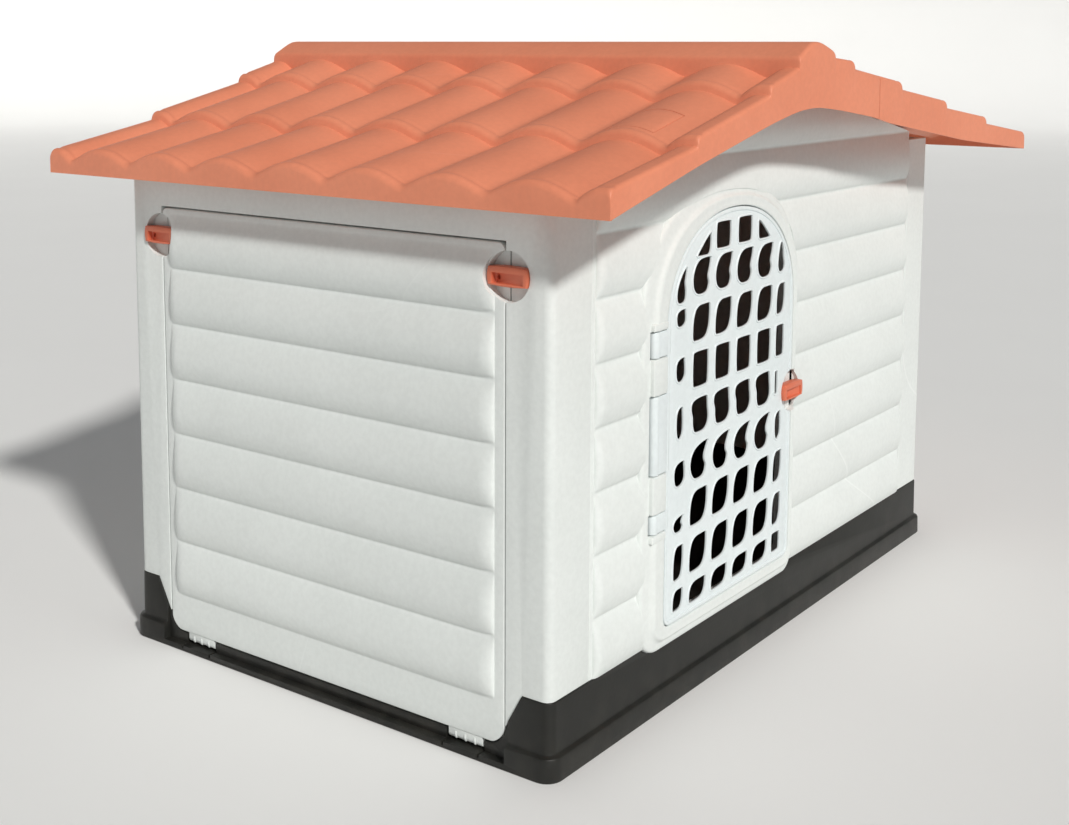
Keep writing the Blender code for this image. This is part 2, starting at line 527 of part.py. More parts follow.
def fascia_z(x):
    for (x0, z0), (x1, z1) in zip(FASCIA, FASCIA[1:]):
        if x0 <= x <= x1:
            return z0 + (z1 - z0) * (x - x0) / (x1 - x0)
    return FASCIA[0][1] if x < 0 else FASCIA[-1][1]


def stations():
    """(x, crest height) from the short eave over the ridge to the long eave."""
    st = []
    lips = list(LEFT_LIPS)
    st.append((lips[2][0], lips[2][1]))
    st.append((lips[1][0] - 0.0006, lips[1][1] - STEP))
    st.append((lips[1][0] + 0.0006, lips[1][1]))
    st.append((lips[0][0] - 0.0006, lips[0][1] - STEP))
    st.append((lips[0][0] + 0.0006, lips[0][1]))
    st.append((RIDGE_X - RIDGE_HALF - 0.0006, 0.7130))
    ridge = [(RIDGE_X - RIDGE_HALF, 0.7220), (RIDGE_X - 0.018, RIDGE_Z - 0.001), (RIDGE_X + 0.016, RIDGE_Z - 0.001),
             (RIDGE_X + RIDGE_HALF, 0.7280)]
    st2 = [(RIDGE_X + RIDGE_HALF + 0.0006, 0.7235)]
    for i, (x, z) in enumerate(RIGHT_LIPS):
        if i == len(RIGHT_LIPS) - 1:
            st2.append((x, z))
        else:
            st2.append((x - 0.0006, z))
            st2.append((x + 0.0006, z - STEP))
    return st, ridge, st2


def roof_sheet(name, sts, drop_first=None, eave=None):
    """Open grid shaped to the tiles with its skirts, thickened downwards."""
    ys = y_stations()
    xs = list(sts)
    nx, ny = len(xs), len(ys)
    bm = bmesh.new()
    cols = nx + (1 if eave else 0)
    rows = ny + 2
    bmesh.ops.create_grid(bm, x_segments=cols - 1, y_segments=rows - 1, size=0.5)
    vs = sorted(bm.verts, key=lambda v: (round(v.co.x, 6), round(v.co.y, 6)))
    assert len(vs) == cols * rows, (len(vs), cols, rows)
    grid = [vs[i * rows:(i + 1) * rows] for i in range(cols)]
    for ci in range(cols):
        if eave == 'lo':
            k = max(0, ci - 1)
        else:
            k = min(nx - 1, ci)
        x, crest, flat = xs[k]
        skirt_eave = (eave == 'lo' and ci == 0) or (eave == 'hi' and ci == cols - 1)
        for ri in range(rows):
            yi = min(max(ri - 1, 0), ny - 1)
            y = ys[yi]
            tongue = eave == 'hi' and x <= SPLIT_X + 0.001
            if tongue:
                y = max(-ROOF_Y + 0.0100, min(ROOF_Y - 0.0100, y))
            if flat:
                z = crest
            else:
                z = edge_z(y, crest - TILE_A)
            if (ri in (0, rows - 1) or skirt_eave) and not tongue:
                z = fascia_z(x)
            grid[ci][ri].co = Vector((WX + x, y, z))
    bmesh.ops.remove_doubles(bm, verts=bm.verts, dist=0.00001)
    bmesh.ops.recalc_face_normals(bm, faces=bm.faces)
    up = sum((f.normal.z * f.calc_area() for f in bm.faces))
    if up < 0:
        bmesh.ops.reverse_faces(bm, faces=bm.faces)
    me = bpy.data.meshes.new(name)
    bm.to_mesh(me)
    bm.free()
    ob = add(name, me, TERRA)
    so = ob.modifiers.new("shell", 'SOLIDIFY')
    so.thickness = ROOF_T
    so.offset = -1
    so.use_even_offset = False
    return ob


st_l, ridge, st_r = stations()
left = [(x, z, False) for x, z in st_l] + [(x, z, True) for x, z in ridge]
right_all = [(x, z, False) for x, z in st_r]
lipz = None
for (x0, z0, _), (x1, z1, _) in zip(right_all, right_all[1:]):
    if x0 <= SPLIT_X <= x1:
        lipz = z0 + (z1 - z0) * (SPLIT_X - x0) / (x1 - x0)
shell_l = left + [s for s in right_all if s[0] < SPLIT_X - 0.002] + [(SPLIT_X - 0.0006, lipz, False)]
shell_r = [(SPLIT_X - 0.024, lipz + 0.0042 - ROOF_T - 0.0018, False), (SPLIT_X + GAP, lipz - ROOF_T - 0.0018, False),
           (SPLIT_X + 0.0016, lipz - 0.001, False)] + [s for s in right_all if s[0] > SPLIT_X + 0.002]
roof_l = roof_sheet("roof_shell_left", shell_l, eave='lo')
roof_r = roof_sheet("roof_shell_right", shell_r, eave='hi')

# ------------------------------------------------------------------ vent flap in the short slope
FLAP_X0, FLAP_X1 = -0.352, -0.292      # low and high edge, from the wall middle
FLAP_Y0, FLAP_Y1 = -0.346, -0.290


def slope_z(x, y):
    """Tile surface of the short slope."""
    sts = stations()[0]
    for (x0, z0), (x1, z1) in zip(sts, sts[1:]):
        if x0 <= x <= x1:
            return edge_z(y, z0 + (z1 - z0) * (x - x0) / (x1 - x0) - TILE_A)
    return 0.6


cut_with(roof_l, "flap_hole", box_mesh("flaphole", (WX + FLAP_X0 - 0.0022, FLAP_Y0 - 0.0016, 0.5), (WX + FLAP_X1 + 0.0016, FLAP_Y1 + 0.0016, 0.9)))
bm = bmesh.new()
bmesh.ops.create_grid(bm, x_segments=2, y_segments=8, size=0.5)
for v in bm.verts:
    x = FLAP_X0 + (v.co.x + 0.5) * (FLAP_X1 - FLAP_X0)
    y = FLAP_Y0 + (v.co.y + 0.5) * (FLAP_Y1 - FLAP_Y0)
    v.co = Vector((WX + x, y, slope_z(x, y) + 0.0010))
me = bpy.data.meshes.new("roof_vent_flap")
bm.to_mesh(me)
bm.free()
flap = add("roof_vent_flap", me, TERRA)
so = flap.modifiers.new("sheet", 'SOLIDIFY')
so.thickness = 0.0035
so.offset = -1

# ------------------------------------------------------------------ fasteners


def screw(name, head, tip, r_head, h_head, r_shank):
    """Pan head screw: the head sits at the head point and the shank runs to the tip."""
    head, tip = Vector(head), Vector(tip)
    d = (tip - head).normalized()
    ob = add(name, rod_mesh(name, head, head + d * h_head, r_head * 0.8, 12, r_head), STEEL)
    cut_with(ob, name + "_shank", rod_mesh(name + "_s", head + d * (h_head * 0.5), tip, r_shank, 10), 'UNION')
    return ob


FLANGE = WALL_T + 0.0043
n = 0
for sy, wall in ((-1, front), (1, rear)):
    for sx, post in ((-1, side), (1, sw)):
        x = (XL + CORNER_W + 0.011) if sx < 0 else (XR - CORNER_W - 0.003 - 0.011)
        for z in (0.190, 0.470):
            n += 1
            y_in = sy * (HALF_D - FLANGE)
            bore = rod_mesh("sb", (x, sy * (HALF_D - FLANGE - 0.02), z), (x, sy * (HALF_D - 0.0030), z), 0.0021, 12)
            cut_with([wall, post], "screw_bore_%d" % n, bore)
            screw("corner_screw_%d" % n, (x, y_in - sy * 0.0029, z), (x, sy * (HALF_D - 0.0040), z), 0.0042, 0.0025, 0.0016)
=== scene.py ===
# Looks of the outdoor plastic kennel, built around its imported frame.
# Metres, +Z up, ridge along Y, the door gable faces -Y, the fold-down panel faces -X.
import bpy
import bmesh
import math
import numpy as np
from mathutils import Matrix, Vector


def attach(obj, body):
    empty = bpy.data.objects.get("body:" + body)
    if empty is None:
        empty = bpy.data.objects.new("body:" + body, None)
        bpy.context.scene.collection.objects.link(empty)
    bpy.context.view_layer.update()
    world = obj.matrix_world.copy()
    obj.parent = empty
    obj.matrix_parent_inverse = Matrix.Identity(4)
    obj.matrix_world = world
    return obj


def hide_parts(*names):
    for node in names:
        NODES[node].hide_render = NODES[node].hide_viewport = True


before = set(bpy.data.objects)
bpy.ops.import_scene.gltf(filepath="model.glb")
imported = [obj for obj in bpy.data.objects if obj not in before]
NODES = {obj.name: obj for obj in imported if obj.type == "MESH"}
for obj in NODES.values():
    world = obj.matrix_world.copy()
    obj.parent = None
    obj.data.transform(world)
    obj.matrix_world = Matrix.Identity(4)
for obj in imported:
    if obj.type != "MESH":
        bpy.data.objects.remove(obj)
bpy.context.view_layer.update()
scene = bpy.context.scene

# ------------------------------------------------------------------ the frame's numbers
WX = -0.052
HALF_L, HALF_D, WALL_T = 0.480, 0.313, 0.010
XL, XR = WX - HALF_L, WX + HALF_L
BASE_TOP, BASE_LIP, SKIRT_H, SKIRT_OUT, FLOOR_TOP = 0.0810, 0.0211, 0.026, 0.0085, 0.014
BOARD, BOARD_Z0, RELIEF = 0.0668, 0.0779, 0.0080
CORNER_W, CORNER_R, GAP = 0.0690, 0.010, 0.0003
ROOF_Y, RIDGE_X, TILE_P, TILE_A, STEP, SPLIT_X = 0.408, -0.104, 0.1056, 0.0150, 0.009, 0.070
LEFT_LIPS = ((-0.217, 0.694), (-0.369, 0.648), (-0.525, 0.608))
RIGHT_LIPS = ((-0.004, 0.7195), (0.141, 0.6925), (0.298, 0.6645), (0.456, 0.6375), (0.629, 0.6085))
FASCIA = ((-0.525, 0.577), (-0.369, 0.616), (-0.213, 0.651), (-0.150, 0.6625), (-0.104, 0.6655),
          (-0.045, 0.6605), (0.061, 0.648), (0.100, 0.640), (0.363, 0.606), (0.629, 0.580))
DOOR_CX, DOOR_HALF, DOOR_BOT, DOOR_TOP, DOOR_RISE = -0.129, 0.150, 0.097, 0.550, 0.127
DOOR_FACE, DOOR_T = -0.3240, 0.008
CASE_FACE, CASE_CX, CASE_HALF = -0.3245, -0.141, 0.181
CASE_BOT, CASE_TOP, CASE_RISE = 0.0712, 0.577, 0.130
HINGE_X, HINGE_Y, KNUCKLE_R = -0.300, -0.3190, 0.0064
KNUCKLES = ((0.4025, 0.4305), (0.2740, 0.3605), (0.2090, 0.2300))
PANEL_HALF, PANEL_BOT, PANEL_TOP, PANEL_IN = 0.2560, 0.0214, 0.5402, 0.0120
PANEL_AX, PANEL_AZ, LUG_Y0, LUG_Y1 = 0.0065, 0.0150, 0.1820, 0.2270
DISH_R, DISH_D, DISH_FLOOR = 0.026, 0.0090, 0.0030
KNOB_R, KNOB_W, KNOB_H, SPINDLE_R = 0.0252, 0.0215, 0.0122, 0.0030
LATCH_Y, LATCH_Z, DLATCH_X, DLATCH_Z = 0.2607, 0.5070, 0.0225, 0.3070
FLAP_X0, FLAP_X1, FLAP_Y0, FLAP_Y1 = -0.352, -0.292, -0.346, -0.290
SIDE_TOP_R = 0.6000

scratch = bpy.data.collections.new("scratch")
scene.collection.children.link(scratch)


# ------------------------------------------------------------------ materials
def nodes_of(mat):
    mat.use_nodes = True
    nt = mat.node_tree
    return nt, nt.nodes, nt.links, nt.nodes["Principled BSDF"]


def moulded(name, rgb, dark, rough=0.42, grain=420.0, grain_h=0.00012, mottle=0.5, marks=0.0, mark_rgb=None,
            spec=0.5, coat=0.0, grime=0.0):
    """Injection-moulded plastic: soft cloudy colour, fine texture, faint flow marks and worn patches."""
    m = bpy.data.materials.new(name)
    nt, N, L, b = nodes_of(m)
    tc = N.new("ShaderNodeTexCoord")
    co = tc.outputs["Object"]
    cloud = N.new("ShaderNodeTexNoise")
    cloud.inputs["Scale"].default_value = 7.0
    cloud.inputs["Detail"].default_value = 4.0
    cloud.inputs["Roughness"].default_value = 0.6
    L.new(co, cloud.inputs["Vector"])
    ramp = N.new("ShaderNodeValToRGB")
    ramp.color_ramp.elements[0].position = 0.5 - 0.30 * mottle - 0.05
    ramp.color_ramp.elements[0].color = (*dark, 1)
    ramp.color_ramp.elements[1].position = 0.5 + 0.10
    ramp.color_ramp.elements[1].color = (*rgb, 1)
    L.new(cloud.outputs["Fac"], ramp.inputs["Fac"])
    colour = ramp.outputs["Color"]
    speck = N.new("ShaderNodeTexNoise")
    speck.inputs["Scale"].default_value = 160.0
    speck.inputs["Detail"].default_value = 2.0
    L.new(co, speck.inputs["Vector"])
    sr = N.new("ShaderNodeMapRange")
    sr.inputs["From Min"].default_value = 0.35
    sr.inputs["From Max"].default_value = 0.65
    sr.inputs["To Min"].default_value = 0.975
    sr.inputs["To Max"].default_value = 1.015
    L.new(speck.outputs["Fac"], sr.inputs["Value"])
    mul = N.new("ShaderNodeVectorMath")
    mul.operation = 'SCALE'
    L.new(colour, mul.inputs[0])
    L.new(sr.outputs["Result"], mul.inputs["Scale"])
    colour = mul.outputs["Vector"]
    if marks > 0:
        # long faint wandering lines, as left by the mould flow and by handling
        warp = N.new("ShaderNodeTexNoise")
        warp.inputs["Scale"].default_value = 2.3
        warp.inputs["Detail"].default_value = 2.0
        L.new(co, warp.inputs["Vector"])
        wv = N.new("ShaderNodeTexWave")
        wv.wave_type = 'BANDS'
        wv.bands_direction = 'DIAGONAL'
        wv.inputs["Scale"].default_value = 2.1
        wv.inputs["Distortion"].default_value = 9.0
        wv.inputs["Detail"].default_value = 1.5
        wv.inputs["Detail Scale"].default_value = 0.9
        L.new(co, wv.inputs["Vector"])
        thin = N.new("ShaderNodeMapRange")
        thin.inputs["From Min"].default_value = 0.9992
        thin.inputs["From Max"].default_value = 1.0
        L.new(wv.outputs["Fac"], thin.inputs["Value"])
        gate = N.new("ShaderNodeMapRange")
        gate.inputs["From Min"].default_value = 0.50
        gate.inputs["From Max"].default_value = 0.62
        L.new(warp.outputs["Fac"], gate.inputs["Value"])
        both = N.new("ShaderNodeMath")
        both.operation = 'MULTIPLY'
        L.new(thin.outputs["Result"], both.inputs[0])
        L.new(gate.outputs["Result"], both.inputs[1])
        amt = N.new("ShaderNodeMath")
        amt.operation = 'MULTIPLY'
        amt.inputs[1].default_value = marks
        L.new(both.outputs[0], amt.inputs[0])
        mx = N.new("ShaderNodeMix")
        mx.data_type = 'RGBA'
        L.new(amt.outputs[0], mx.inputs[0])
        L.new(colour, mx.inputs[6])
        mx.inputs[7].default_value = (*(mark_rgb or (1, 1, 1)), 1)
        colour = mx.outputs[2]
    if grime > 0:
        # a little dust low down on the object
        sep = N.new("ShaderNodeSeparateXYZ")
        L.new(co, sep.inputs[0])
        low = N.new("ShaderNodeMapRange")
        low.inputs["From Min"].default_value = 0.0
        low.inputs["From Max"].default_value = 0.07
        low.inputs["To Min"].default_value = 1.0
        low.inputs["To Max"].default_value = 0.0
        L.new(sep.outputs["Z"], low.inputs["Value"])
        dn = N.new("ShaderNodeTexNoise")
        dn.inputs["Scale"].default_value = 34.0
        dn.inputs["Detail"].default_value = 6.0
        L.new(co, dn.inputs["Vector"])
        dm = N.new("ShaderNodeMapRange")
        dm.inputs["From Min"].default_value = 0.42
        dm.inputs["From Max"].default_value = 0.72
        L.new(dn.outputs["Fac"], dm.inputs["Value"])
        pr = N.new("ShaderNodeMath")
        pr.operation = 'MULTIPLY'
        L.new(low.outputs["Result"], pr.inputs[0])
        L.new(dm.outputs["Result"], pr.inputs[1])
        am = N.new("ShaderNodeMath")
        am.operation = 'MULTIPLY'
        am.inputs[1].default_value = grime
        L.new(pr.outputs[0], am.inputs[0])
        mg = N.new("ShaderNodeMix")
        mg.data_type = 'RGBA'
        L.new(am.outputs[0], mg.inputs[0])
        L.new(colour, mg.inputs[6])
        mg.inputs[7].default_value = (0.16, 0.145, 0.12, 1)
        colour = mg.outputs[2]
    L.new(colour, b.inputs["Base Color"])
    rr = N.new("ShaderNodeMapRange")
    rr.inputs["To Min"].default_value = rough - 0.05
    rr.inputs["To Max"].default_value = rough + 0.09
    rn = N.new("ShaderNodeTexNoise")
    rn.inputs["Scale"].default_value = 26.0
    rn.inputs["Detail"].default_value = 5.0
    L.new(co, rn.inputs["Vector"])
    L.new(rn.outputs["Fac"], rr.inputs["Value"])
    L.new(rr.outputs["Result"], b.inputs["Roughness"])
    g = N.new("ShaderNodeTexNoise")
    g.inputs["Scale"].default_value = grain
    g.inputs["Detail"].default_value = 3.0
    L.new(co, g.inputs["Vector"])
    wob = N.new("ShaderNodeTexNoise")
    wob.inputs["Scale"].default_value = 11.0
    wob.inputs["Detail"].default_value = 1.0
    L.new(co, wob.inputs["Vector"])
    b1 = N.new("ShaderNodeBump")
    b1.inputs["Strength"].default_value = 0.5
    b1.inputs["Distance"].default_value = grain_h
    L.new(g.outputs["Fac"], b1.inputs["Height"])
    b2 = N.new("ShaderNodeBump")
    b2.inputs["Strength"].default_value = 0.6
    b2.inputs["Distance"].default_value = 0.0010
    L.new(wob.outputs["Fac"], b2.inputs["Height"])
    L.new(b1.outputs["Normal"], b2.inputs["Normal"])
    L.new(b2.outputs["Normal"], b.inputs["Normal"])
    b.inputs["Specular IOR Level"].default_value = spec
    b.inputs["Coat Weight"].default_value = coat
    b.inputs["Coat Roughness"].default_value = 0.25
    m.diffuse_color = (*rgb, 1)
    return m


def zinc(name):
    m = bpy.data.materials.new(name)
    nt, N, L, b = nodes_of(m)
    tc = N.new("ShaderNodeTexCoord")
    v = N.new("ShaderNodeTexVoronoi")
    v.inputs["Scale"].default_value = 900.0
    L.new(tc.outputs["Object"], v.inputs["Vector"])
    r = N.new("ShaderNodeValToRGB")
    r.color_ramp.elements[0].color = (0.42, 0.42, 0.41, 1)
    r.color_ramp.elements[1].color = (0.66, 0.66, 0.63, 1)
    L.new(v.outputs["Distance"], r.inputs["Fac"])
    L.new(r.outputs["Color"], b.inputs["Base Color"])
    n = N.new("ShaderNodeTexNoise")
    n.inputs["Scale"].default_value = 300.0
    L.new(tc.outputs["Object"], n.inputs["Vector"])
    mr = N.new("ShaderNodeMapRange")
    mr.inputs["To Min"].default_value = 0.24
    mr.inputs["To Max"].default_value = 0.46
    L.new(n.outputs["Fac"], mr.inputs["Value"])
    L.new(mr.outputs["Result"], b.inputs["Roughness"])
    b.inputs["Metallic"].default_value = 1.0
    return m


WHITE = moulded("siding_white", (0.800, 0.835, 0.815), (0.765, 0.800, 0.780), 0.43, 520, 0.00010, 0.5, 0.55, (0.90, 0.93, 0.91))
GRILLE = moulded("grille_white", (0.790, 0.850, 0.860), (0.755, 0.815, 0.825), 0.40, 560, 0.00008, 0.5)
TERRA = moulded("roof_terracotta", (0.840, 0.285, 0.160), (0.785, 0.255, 0.140), 0.50, 380, 0.00016, 0.6, 0.25, (0.88, 0.36, 0.25))
KNOBC = moulded("knob_terracotta", (0.760, 0.200, 0.105), (0.690, 0.165, 0.085), 0.42, 700, 0.00008, 0.5)
BLACK = moulded("tray_black", (0.0135, 0.0135, 0.0112), (0.0095, 0.0095, 0.0080), 0.40, 300, 0.00022, 0.7, 0.0, None, 0.40, 0.0, 0.12)
ZINC = zinc("zinc_plated")


# ------------------------------------------------------------------ mesh helpers
def new_object(name, me, col=None):
    ob = bpy.data.objects.new(name, me)
    (col or scene.collection).objects.link(ob)
    return ob


def from_data(name, verts, faces, col=None, fix=True):
    me = bpy.data.meshes.new(name)
    me.from_pydata([tuple(v) for v in verts], [], faces)
    if fix:
        bm = bmesh.new()
        bm.from_mesh(me)
        bmesh.ops.remove_doubles(bm, verts=bm.verts, dist=1e-6)
        bmesh.ops.recalc_face_normals(bm, faces=bm.faces)
        bm.to_mesh(me)
        bm.free()
    me.update()
    return new_object(name, me, col)


def box(name, lo, hi, bev=0.0, seg=2, col=None):
    bm = bmesh.new()
    bmesh.ops.create_cube(bm, size=1.0)
    lo, hi = Vector(lo), Vector(hi)
    for v in bm.verts:
        v.co = Vector([lo[i] + (v.co[i] + 0.5) * (hi[i] - lo[i]) for i in range(3)])
    if bev > 0:
        bmesh.ops.bevel(bm, geom=list(bm.edges), offset=bev, segments=seg, affect='EDGES', profile=0.5)
    me = bpy.data.meshes.new(name)
    bm.to_mesh(me)
    bm.free()
    return new_object(name, me, col)


def lathe(name, p0, axis, prof, seg=48, col=None):
    """Turned closed piece: prof holds (distance along the axis, radius)."""
    axis = Vector(axis).normalized()
    rot = Vector((0, 0, 1)).rotation_difference(axis).to_matrix()
    p0 = Vector(p0)
    vs, fs = [], []
    for a, r in prof:
        for k in range(seg):
            w = 2 * math.pi * k / seg
            vs.append(p0 + rot @ Vector((r * math.cos(w), r * math.sin(w), a)))
    n = len(prof)
    for i in range(n - 1):
        for k in range(seg):
            k2 = (k + 1) % seg
            fs.append((i * seg + k, i * seg + k2, (i + 1) * seg + k2, (i + 1) * seg + k))
    fs.append(tuple(range(seg - 1, -1, -1)))
    fs.append(tuple((n - 1) * seg + k for k in range(seg)))
    return from_data(name, vs, fs, col)


def to_space(plane, u, v, w):
    """(u, v) in the plane and w across it."""
    return {'XZ': (u, w, v), 'YZ': (w, u, v), 'XY': (u, v, w)}[plane]


def prism(name, outline, a, b, plane, col=None, edge=0.0):
    """Extruded outline; edge rounds both rims by stepping the outline inwards."""
    o = np.array(outline, float)
    n = len(o)
    rings = [(0.0, a), (0.0, b)]
    if edge > 0:
        lo, hi = min(a, b), max(a, b)
        rings = [(edge, lo), (edge * 0.29, lo + edge * 0.29), (0.0, lo + edge), (0.0, hi - edge),
                 (edge * 0.29, hi - edge * 0.29), (edge, hi)]
    vs, fs = [], []
    for off, w in rings:
        for p in offset_loop(o, off) if off else o:
            vs.append(to_space(plane, p[0], p[1], w))
    for i in range(len(rings) - 1):
        for k in range(n):
            k2 = (k + 1) % n
            fs.append((i * n + k, i * n + k2, (i + 1) * n + k2, (i + 1) * n + k))
    fs.append(tuple(range(n - 1, -1, -1)))
    fs.append(tuple((len(rings) - 1) * n + k for k in range(n)))
    return from_data(name, vs, fs, col)


def offset_loop(o, d):
    """Moves a closed loop inwards by d."""
    o = np.asarray(o, float)
    area = 0.5 * np.sum(o[:, 0] * np.roll(o[:, 1], -1) - np.roll(o[:, 0], -1) * o[:, 1])
    t = np.roll(o, -1, 0) - np.roll(o, 1, 0)
    t /= np.maximum(np.linalg.norm(t, axis=1)[:, None], 1e-9)
    nrm = np.stack([-t[:, 1], t[:, 0]], 1) * (1 if area > 0 else -1)
    return o + nrm * d


def ring_loft(name, loops, col=None):
    """Closed ring from loops of equal length that go round its cross-section."""
    n, m = len(loops[0]), len(loops)
    vs = [p for lp in loops for p in lp]
    fs = []
    for i in range(m):
        j = (i + 1) % m
        for k in range(n):
            k2 = (k + 1) % n
            fs.append((i * n + k, i * n + k2, j * n + k2, j * n + k))
    return from_data(name, vs, fs, col)


def evaluated(ob):
    dg = bpy.context.evaluated_depsgraph_get()
    me = bpy.data.meshes.new_from_object(ob.evaluated_get(dg))
    ob.modifiers.clear()
    old = ob.data
    ob.data = me
    if old.users == 0:
        bpy.data.meshes.remove(old)
    return ob


def carve(ob, cutters, op='DIFFERENCE', keep=False):
    for c in cutters:
        m = ob.modifiers.new("b", 'BOOLEAN')
        m.operation = op
        m.solver = 'EXACT'
        m.object = c
    bpy.context.view_layer.update()
    evaluated(ob)
    if not keep:
        for c in cutters:
            bpy.data.objects.remove(c, do_unlink=True)
    return ob


def bevelled(ob, width, seg=2, angle=28):
    bm = bmesh.new()
    bm.from_mesh(ob.data)
    bmesh.ops.remove_doubles(bm, verts=bm.verts, dist=2e-6)
    bmesh.ops.dissolve_limit(bm, angle_limit=math.radians(0.6), verts=bm.verts, edges=bm.edges)
    bm.to_mesh(ob.data)
    bm.free()
    m = ob.modifiers.new("edge", 'BEVEL')
    m.width = width
    m.segments = seg
    m.limit_method = 'ANGLE'
    m.angle_limit = math.radians(angle)
    m.use_clamp_overlap = True
    m.miter_outer = 'MITER_ARC'
    bpy.context.view_layer.update()
    return evaluated(ob)


def merge(name, obs):
    """Several closed shells as one piece."""
    bm = bmesh.new()
    for ob in obs:
        tmp = ob.data.copy()
        tmp.transform(ob.matrix_world)
        bm.from_mesh(tmp)
        bpy.data.meshes.remove(tmp)
    me = bpy.data.meshes.new(name)
    bm.to_mesh(me)
    bm.free()
    for ob in obs:
        bpy.data.objects.remove(ob, do_unlink=True)
    return new_object(name, me)


def copy_of(node):
    src = NODES[node]
    me = src.data.copy()
    ob = new_object("tmp_" + node, me)
    return ob


def finish_piece(ob, name, mat, body, nodes, angle=32):
    ob.name = name
    ob.data.name = name
    ob.data.materials.clear()
    ob.data.materials.append(mat)
    for p in ob.data.polygons:
        p.material_index = 0
    ob.data.shade_smooth()
    ob.data.set_sharp_from_angle(angle=math.radians(angle))
    for c in list(ob.users_collection):
        if c is scratch:
            c.objects.unlink(ob)
            scene.collection.objects.link(ob)
    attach(ob, body)
    if nodes:
        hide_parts(*nodes)
    return ob


def arch(cx, half, bottom, top, rise, corner, power, n=48, m=9):
    pts = []
    left, right = cx - half, cx + half
    rl, rr = corner
    for k in range(m):
        a = math.pi + math.pi / 2 * k / (m - 1)
        pts.append((left + rl + rl * math.cos(a), bottom + rl + rl * math.sin(a)))
    for k in range(m):
        a = 1.5 * math.pi + math.pi / 2 * k / (m - 1)
        pts.append((right - rr + rr * math.cos(a), bottom + rr + rr * math.sin(a)))
    for k in range(1, 7):
        pts.append((right, bottom + rr + (top - rise - bottom - rr) * k / 7))
    for k in range(n + 1):
        a = math.pi * k / n
        c, s = math.cos(a), math.sin(a)
        pts.append((cx + half * math.copysign(abs(c) ** (2 / power), c), top - rise + rise * abs(s) ** (2 / power)))
    for k in range(6, 0, -1):
        pts.append((left, bottom + rl + (top - rise - bottom - rl) * k / 7))
    return pts


# ------------------------------------------------------------------ lap siding
def board_relief(t):
    """Bulging board: t runs 0..1 from its lower lip to its top."""
    t0, p0 = 0.38, 0.16
    if t < t0:
        return 1.0 - (1.0 - p0) * ((t0 - t) / t0) ** 2
    return 1.0 - ((t - t0) / (1.0 - t0)) ** 2


def board_stations(z0, z1, first):
    """(z, relief) pairs, rounded where one board laps over the next."""
    st = []
    k = math.floor((z0 - first) / BOARD)
    z = first + k * BOARD
    low = board_relief(0.0)
    while z < z1:
        # lip: from the recess under this board out to its lower edge
        for t, r in ((-0.030, 0.075), (-0.014, 0.045), (0.0, 0.050), (0.014, 0.10), (0.028, 0.175),
                     (0.042, board_relief(0.042) * 0.93), (0.058, board_relief(0.058) * 0.985)):
            st.append((z + t * BOARD, r))
        for t in (0.08, 0.13, 0.19, 0.26, 0.34, 0.42, 0.50, 0.58, 0.66, 0.74, 0.81, 0.87, 0.92, 0.958):
            st.append((z + t * BOARD, board_relief(t)))
        z += BOARD
    out = [(zz, r) for zz, r in st if z0 + 0.0012 < zz < z1 - 0.0012]
    r0 = np.interp(z0, [s[0] for s in st], [s[1] for s in st])
    r1 = np.interp(z1, [s[0] for s in st], [s[1] for s in st])
    return [(z0, r0)] + out + [(z1, r1)]


def end_fade(d, width):
    """0 outside, 1 inside; the boards' ends roll over like a quarter ellipse."""
    s = np.clip(d / width, 0.0, 1.0)
    return np.sqrt(np.maximum(0.0, 1.0 - (1.0 - s) ** 2))


def fine_ends(lo, hi, field_lo, field_hi, width, step=0.020, edge=0.0016):
    """Stations across a sheet: close together where the boards end and at its own edges."""
    us = {lo, lo + edge * 0.15, lo + edge * 0.5, lo + edge, hi, hi - edge * 0.15, hi - edge * 0.5, hi - edge}
    for a, s in ((field_lo, 1), (field_hi, -1)):
        for q in (-0.02, 0.0, 0.02, 0.06, 0.12, 0.20, 0.30, 0.42, 0.56, 0.72, 0.86, 1.0, 1.15):
            us.add(a + s * q * width)
    u = field_lo + 1.3 * width
    n = max(2, int((field_hi - field_lo - 2.6 * width) / step))
    for k in range(n + 1):
        us.add(u + (field_hi - field_lo - 2.6 * width) * k / n)
    us = sorted(x for x in us if lo <= x <= hi)
    out = [us[0]]
    for x in us[1:]:
        if x - out[-1] > 2e-5:
            out.append(x)
    return np.array(out)


def relief_sheet(name, plane, us, zs, height, face, back, sign, col=None):
    """Closed sheet: relief on its face, flat behind."""
    n, m = len(us), len(zs)
    vs = []
    for i in range(n):
        for j in range(m):
            vs.append(to_space(plane, us[i], zs[j], face + sign * height[i, j]))
    for i in range(n):
        for j in range(m):
            vs.append(to_space(plane, us[i], zs[j], back))
    fs = []
    B = n * m
    for i in range(n - 1):
        for j in range(m - 1):
            a, b, c, d = i * m + j, (i + 1) * m + j, (i + 1) * m + j + 1, i * m + j + 1
            fs.append((a, b, c, d))
            fs.append((B + d, B + c, B + b, B + a))
    for i in range(n - 1):
        for j in (0, m - 1):
            a, b = i * m + j, (i + 1) * m + j
            fs.append((a, b, B + b, B + a))
    for j in range(m - 1):
        for i in (0, n - 1):
            a, b = i * m + j, i * m + j + 1
            fs.append((a, b, B + b, B + a))
    return from_data(name, vs, fs, col)


